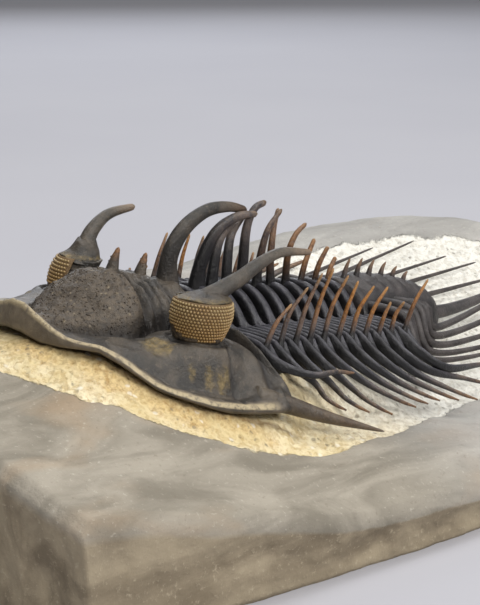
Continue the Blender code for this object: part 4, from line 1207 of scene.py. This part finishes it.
# Tips of the tail's side spines, from front to back
TAIL_TIPS = {
    LEFT: [(39.5, -9.6, 3.3), (44.0, -8.6, 4.0), (48.5, -6.6, 5.2), (51.5, -4.8, 7.3),
           (53.5, -2.6, 9.4)],
    RIGHT: [(42.5, 13.4, 7.4), (48.5, 12.6, 8.2), (49.5, 8.6, 7.4), (53.0, 7.0, 6.8),
            (54.0, 3.6, 6.4)],
}
TAIL_MEDIAN = (54.5, 0.0, 7.6)  # tip of the median spine
AXIS_POINTS = 6                 # small points down the axis


def tail_half(x):
    """Half width of the tail shield."""
    share = np.clip((x - TAIL_FRONT) / TAIL_LENGTH, 0.0, 1.0)
    return TAIL_HALF_WIDTH * (1 - share ** 1.3)


def tail_under(x, y):
    """The tail's lower surface, just clear of the stone."""
    return bed(x, y) + SHIELD_GAP


def tail_top(x, y, share):
    """The tail's upper surface: a tapering axis between two sloping flanks."""
    crest = along([(20, 8.0), (24, 8.4), (28, 8.2), (32, 7.4), (35, 6.4), (36.5, 5.2), (38, 4.0)], x)
    half = along(TAIL_AXIS_HALF, x)
    edge = along([(20, 2.6), (28, 2.6), (34, 3.0), (38, 3.6)], x)
    flank = np.minimum(edge + (crest - 1.9 - edge) * rounded(1 - share, 0.0, 0.35), crest - 1.6)
    flank = np.maximum(flank, tail_under(x, y) + 0.5)
    axis = crest - 2.0 + 2.0 * np.clip(1 - (y / half) ** 2, 0, 1) ** 0.5
    return np.where(abs(y) < half, np.maximum(flank, axis), flank)


def tail_outline():
    """Edge of the tail shield: straight in front, tapering to a point behind."""
    xs = [TAIL_FRONT + TAIL_LENGTH * k / 7 for k in range(7)]
    left = [(x, -tail_half(x)) for x in xs]
    right = [(x, -y) for x, y in reversed(left)]
    front = [(TAIL_FRONT, y) for y in (7.0, 4.0, 2.0, 0.0, -2.0, -4.0, -7.0)]
    return left + [(TAIL_FRONT + TAIL_LENGTH, 0.0)] + right + front


def tail_shell():
    """The plate's closed skin, from the middle out to its edge and back under."""
    outline = curve_through(tail_outline(), TAIL_POINTS, closed=True)
    middle = np.array(TAIL_MIDDLE)
    x, y, share = fan_out(outline, middle, np.linspace(0.015, 1.0, 64))
    z = tail_top(x, y, share)
    half = along(TAIL_AXIS_HALF, x)
    rings_over = np.sin(math.tau * (x - TAIL_FRONT) / TAIL_RING_PITCH) * rounded(-abs(y), -half, -0.6 * half)
    furrow = bell(abs(y) - half, 0.4)
    z = z + 0.16 * rings_over - 0.35 * furrow + 0.06 * lumps(x, y, 0.0, 1.2, 3)
    # Painted shade in the furrows beside the axis, between its faint rings, and under the plate
    deep = np.clip(0.9 * furrow + 0.35 * np.clip(-rings_over, 0, 1), 0, 1)
    low_x, low_y, _ = fan_out(outline, middle, np.linspace(1.0, 0.02, 14))
    under = np.stack([low_x, low_y, tail_under(low_x, low_y)], axis=-1)
    rings = list(np.stack([x, y, z], axis=-1)) + list(under)
    return (*loft(rings), np.concatenate([deep.ravel(), np.full(low_x.size, 1.0)]))


def tail_rib(index, side):
    """Knots of a rib of the tail, which runs on past the edge as a long spine."""
    start = TAIL_FRONT + 1.2 + 2.35 * index
    sweep = 1.2 + 0.5 * index
    edge_x = start + sweep
    edge = tail_half(edge_x)
    inner = along([(20, 4.0), (35, 1.7)], start)
    tip = np.array(TAIL_TIPS[side][index])
    rim = np.array((edge_x, side * edge, along([(20, 2.9), (28, 2.9), (34, 3.2)], edge_x)))
    high = float(tail_top(start + 0.4 * sweep, 0.0, 0.0)) - 2.0
    knots = [(start, side * inner * 0.8, high + 0.1),
             (start + 0.4 * sweep, side * (inner + 0.6 * (edge - inner)), high), rim,
             rim + (tip - rim) * 0.45 + np.array((0, side * 0.8, 0.15 * index - 0.5)), tip]
    return [(k[0], k[1], max(k[2], float(bed(k[0], k[1])) + RIB + SHIELD_GAP)) for k in knots]


def tail_finish():
    """Satin grey-brown shell with painted shade in its furrows and under it, darker at the feet of its
    spines, amber at the points of its axis.
    """
    made = Finish("fossil_shell_of_tail", specular=0.5)
    soft = made.clouds(2.2, 4.0, 0.6)
    fine = made.clouds(0.4, 5.0, 0.7)
    amber, deep = made.mark("amber"), made.mark("deep")
    colour = made.mix(made.step(soft, 0.35, 0.65), shade(42, 39, 40), shade(70, 65, 64))
    colour = made.mix(made.step(fine, 0.56, 0.72) * 0.4, colour, shade(122, 116, 110))
    # Painted shade in the furrows and under the plate; darker feet on the ribs and spines
    colour = made.mix(made.step(deep, 0.2, 1.0) * 0.85, colour, shade(20, 17, 18))
    colour = made.mix(amber, colour, made.mix(fine, shade(110, 72, 40), shade(160, 120, 78)))
    return made.finish(colour, 0.38 + made.step(fine, 0.38, 0.68) * 0.2, made.bump(fine, 0.12))


def tail():
    """The plate with its ribs, its median spine and the points down its axis."""
    skin = Skin()
    points, faces, deep = tail_shell()
    skin.add(points, faces, deep=deep)
    for index in range(TAIL_RIBS):
        for side in (LEFT, RIGHT):
            points, faces, share = tube(tail_rib(index, side), RIB, 0.10, 60, flare=0.0, power=0.8)
            skin.add(points, faces, deep=0.3 * (1 - share), amber=0.05 * share)
    median = [(34.0, 0, 4.4), (38, 0, 3.9), (45, 0, 5.0), TAIL_MEDIAN]
    points, faces, share = tube(median, 0.8, 0.10, 50, flare=0.0)
    skin.add(points, faces, deep=0.2 * (1 - share))
    for index in range(AXIS_POINTS):
        x = TAIL_FRONT + 1.1 + TAIL_RING_PITCH * index
        z = float(tail_top(x, 0.0, 0.0))
        rise = 2.0 - 0.22 * index
        knots = [(x, 0, z - 0.6), (x + 0.2, 0, z + 0.5 * rise), (x + 0.6, 0, z + rise)]
        points, faces, share = tube(knots, 0.36, 0.08, 14, flare=0.9)
        skin.add(points, faces, amber=0.6 * rounded(share, 0.3, 0.9), deep=0.3 * (1 - share))
    return skin.make("tail_shield", tail_finish())


settle(tail(), "pygidium", "pygidium")

# The pale floor that the block stands on, soft studio light from above and behind, a weak fill
# from the side of the camera, and the camera at the picture's angle.

FLOOR_HALF = 1.6                # metres
CAMERA_TURN = 43.62             # degrees from straight in front of the head towards its left
CAMERA_RISE = 12.5
CAMERA_AWAY = 200.0             # mm from the aim
CAMERA_LENS = 128.5             # mm, on a 36 mm sensor
AIM = np.array((-9.22, -1.57, 15.54))           # mm in the frame, on the head
AIM_RIGHT = 2.41                # the picture's middle lies this far right of the aim, and above it
AIM_UP = 2.45


def floor():
    """A wide matte floor."""
    made = bpy.data.meshes.new("floor")
    corners = [(-1, -1), (1, -1), (1, 1), (-1, 1)]
    made.from_pydata([(x * FLOOR_HALF, y * FLOOR_HALF, 0.0) for x, y in corners], [], [(0, 1, 2, 3)])
    pale = Finish("pale_floor", specular=0.2)
    cloud = pale.clouds(60.0, 2.0)
    made.materials.append(pale.finish(pale.mix(cloud, shade(176, 176, 183), shade(182, 182, 188)), 0.8,
                                      pale.bump(cloud, 0.01)))
    ground = bpy.data.objects.new("floor", made)
    bpy.context.collection.objects.link(ground)


def lamp(name, place, size, power, colour):
    """A soft square lamp that faces the block."""
    data = bpy.data.lights.new(name, "AREA")
    data.shape = "SQUARE"
    data.size = size
    data.energy = power
    data.color = colour
    made = bpy.data.objects.new(name, data)
    bpy.context.collection.objects.link(made)
    made.location = place
    made.rotation_euler = (-Vector(place)).to_track_quat("-Z", "Y").to_euler()


def camera():
    """The camera, turned and raised about the head and looking at the middle of the picture."""
    turn, rise = math.radians(CAMERA_TURN), math.radians(CAMERA_RISE)
    away = np.array((-math.cos(rise) * math.cos(turn), -math.cos(rise) * math.sin(turn), math.sin(rise)))
    right = np.array((math.sin(turn), -math.cos(turn), 0.0))
    up = np.cross(away, right)
    place = Vector((AIM + away * CAMERA_AWAY) * MM)
    target = Vector((AIM + right * AIM_RIGHT + up * AIM_UP) * MM)
    data = bpy.data.cameras.new("camera")
    data.lens = CAMERA_LENS
    data.sensor_width = 36.0
    data.clip_start = 0.01
    made = bpy.data.objects.new("camera", data)
    bpy.context.collection.objects.link(made)
    made.location = place
    made.rotation_euler = (target - place).to_track_quat("-Z", "Y").to_euler()
    bpy.context.scene.camera = made


floor()
lamp("overhead", (0.06, 0.06, 0.62), 0.40, 2.5, (1.0, 0.985, 0.96))
lamp("camera_side", (-0.30, -0.42, 0.34), 0.28, 1.5, (1.0, 0.975, 0.94))
lamp("behind", (0.35, 0.40, 0.25), 0.30, 0.7, (0.92, 0.95, 1.0))
lamp("tail_side", (0.20, -0.42, 0.34), 0.25, 2.1, (1.0, 0.99, 0.97))
world = bpy.data.worlds.new("studio")
world.use_nodes = True
world.node_tree.nodes["Background"].inputs["Color"].default_value = (0.80, 0.81, 0.85, 1.0)
world.node_tree.nodes["Background"].inputs["Strength"].default_value = 0.18
bpy.context.scene.world = world
camera()
# The finishes are given as screen values, so no film curve is laid over them
bpy.context.scene.view_settings.view_transform = "Standard"
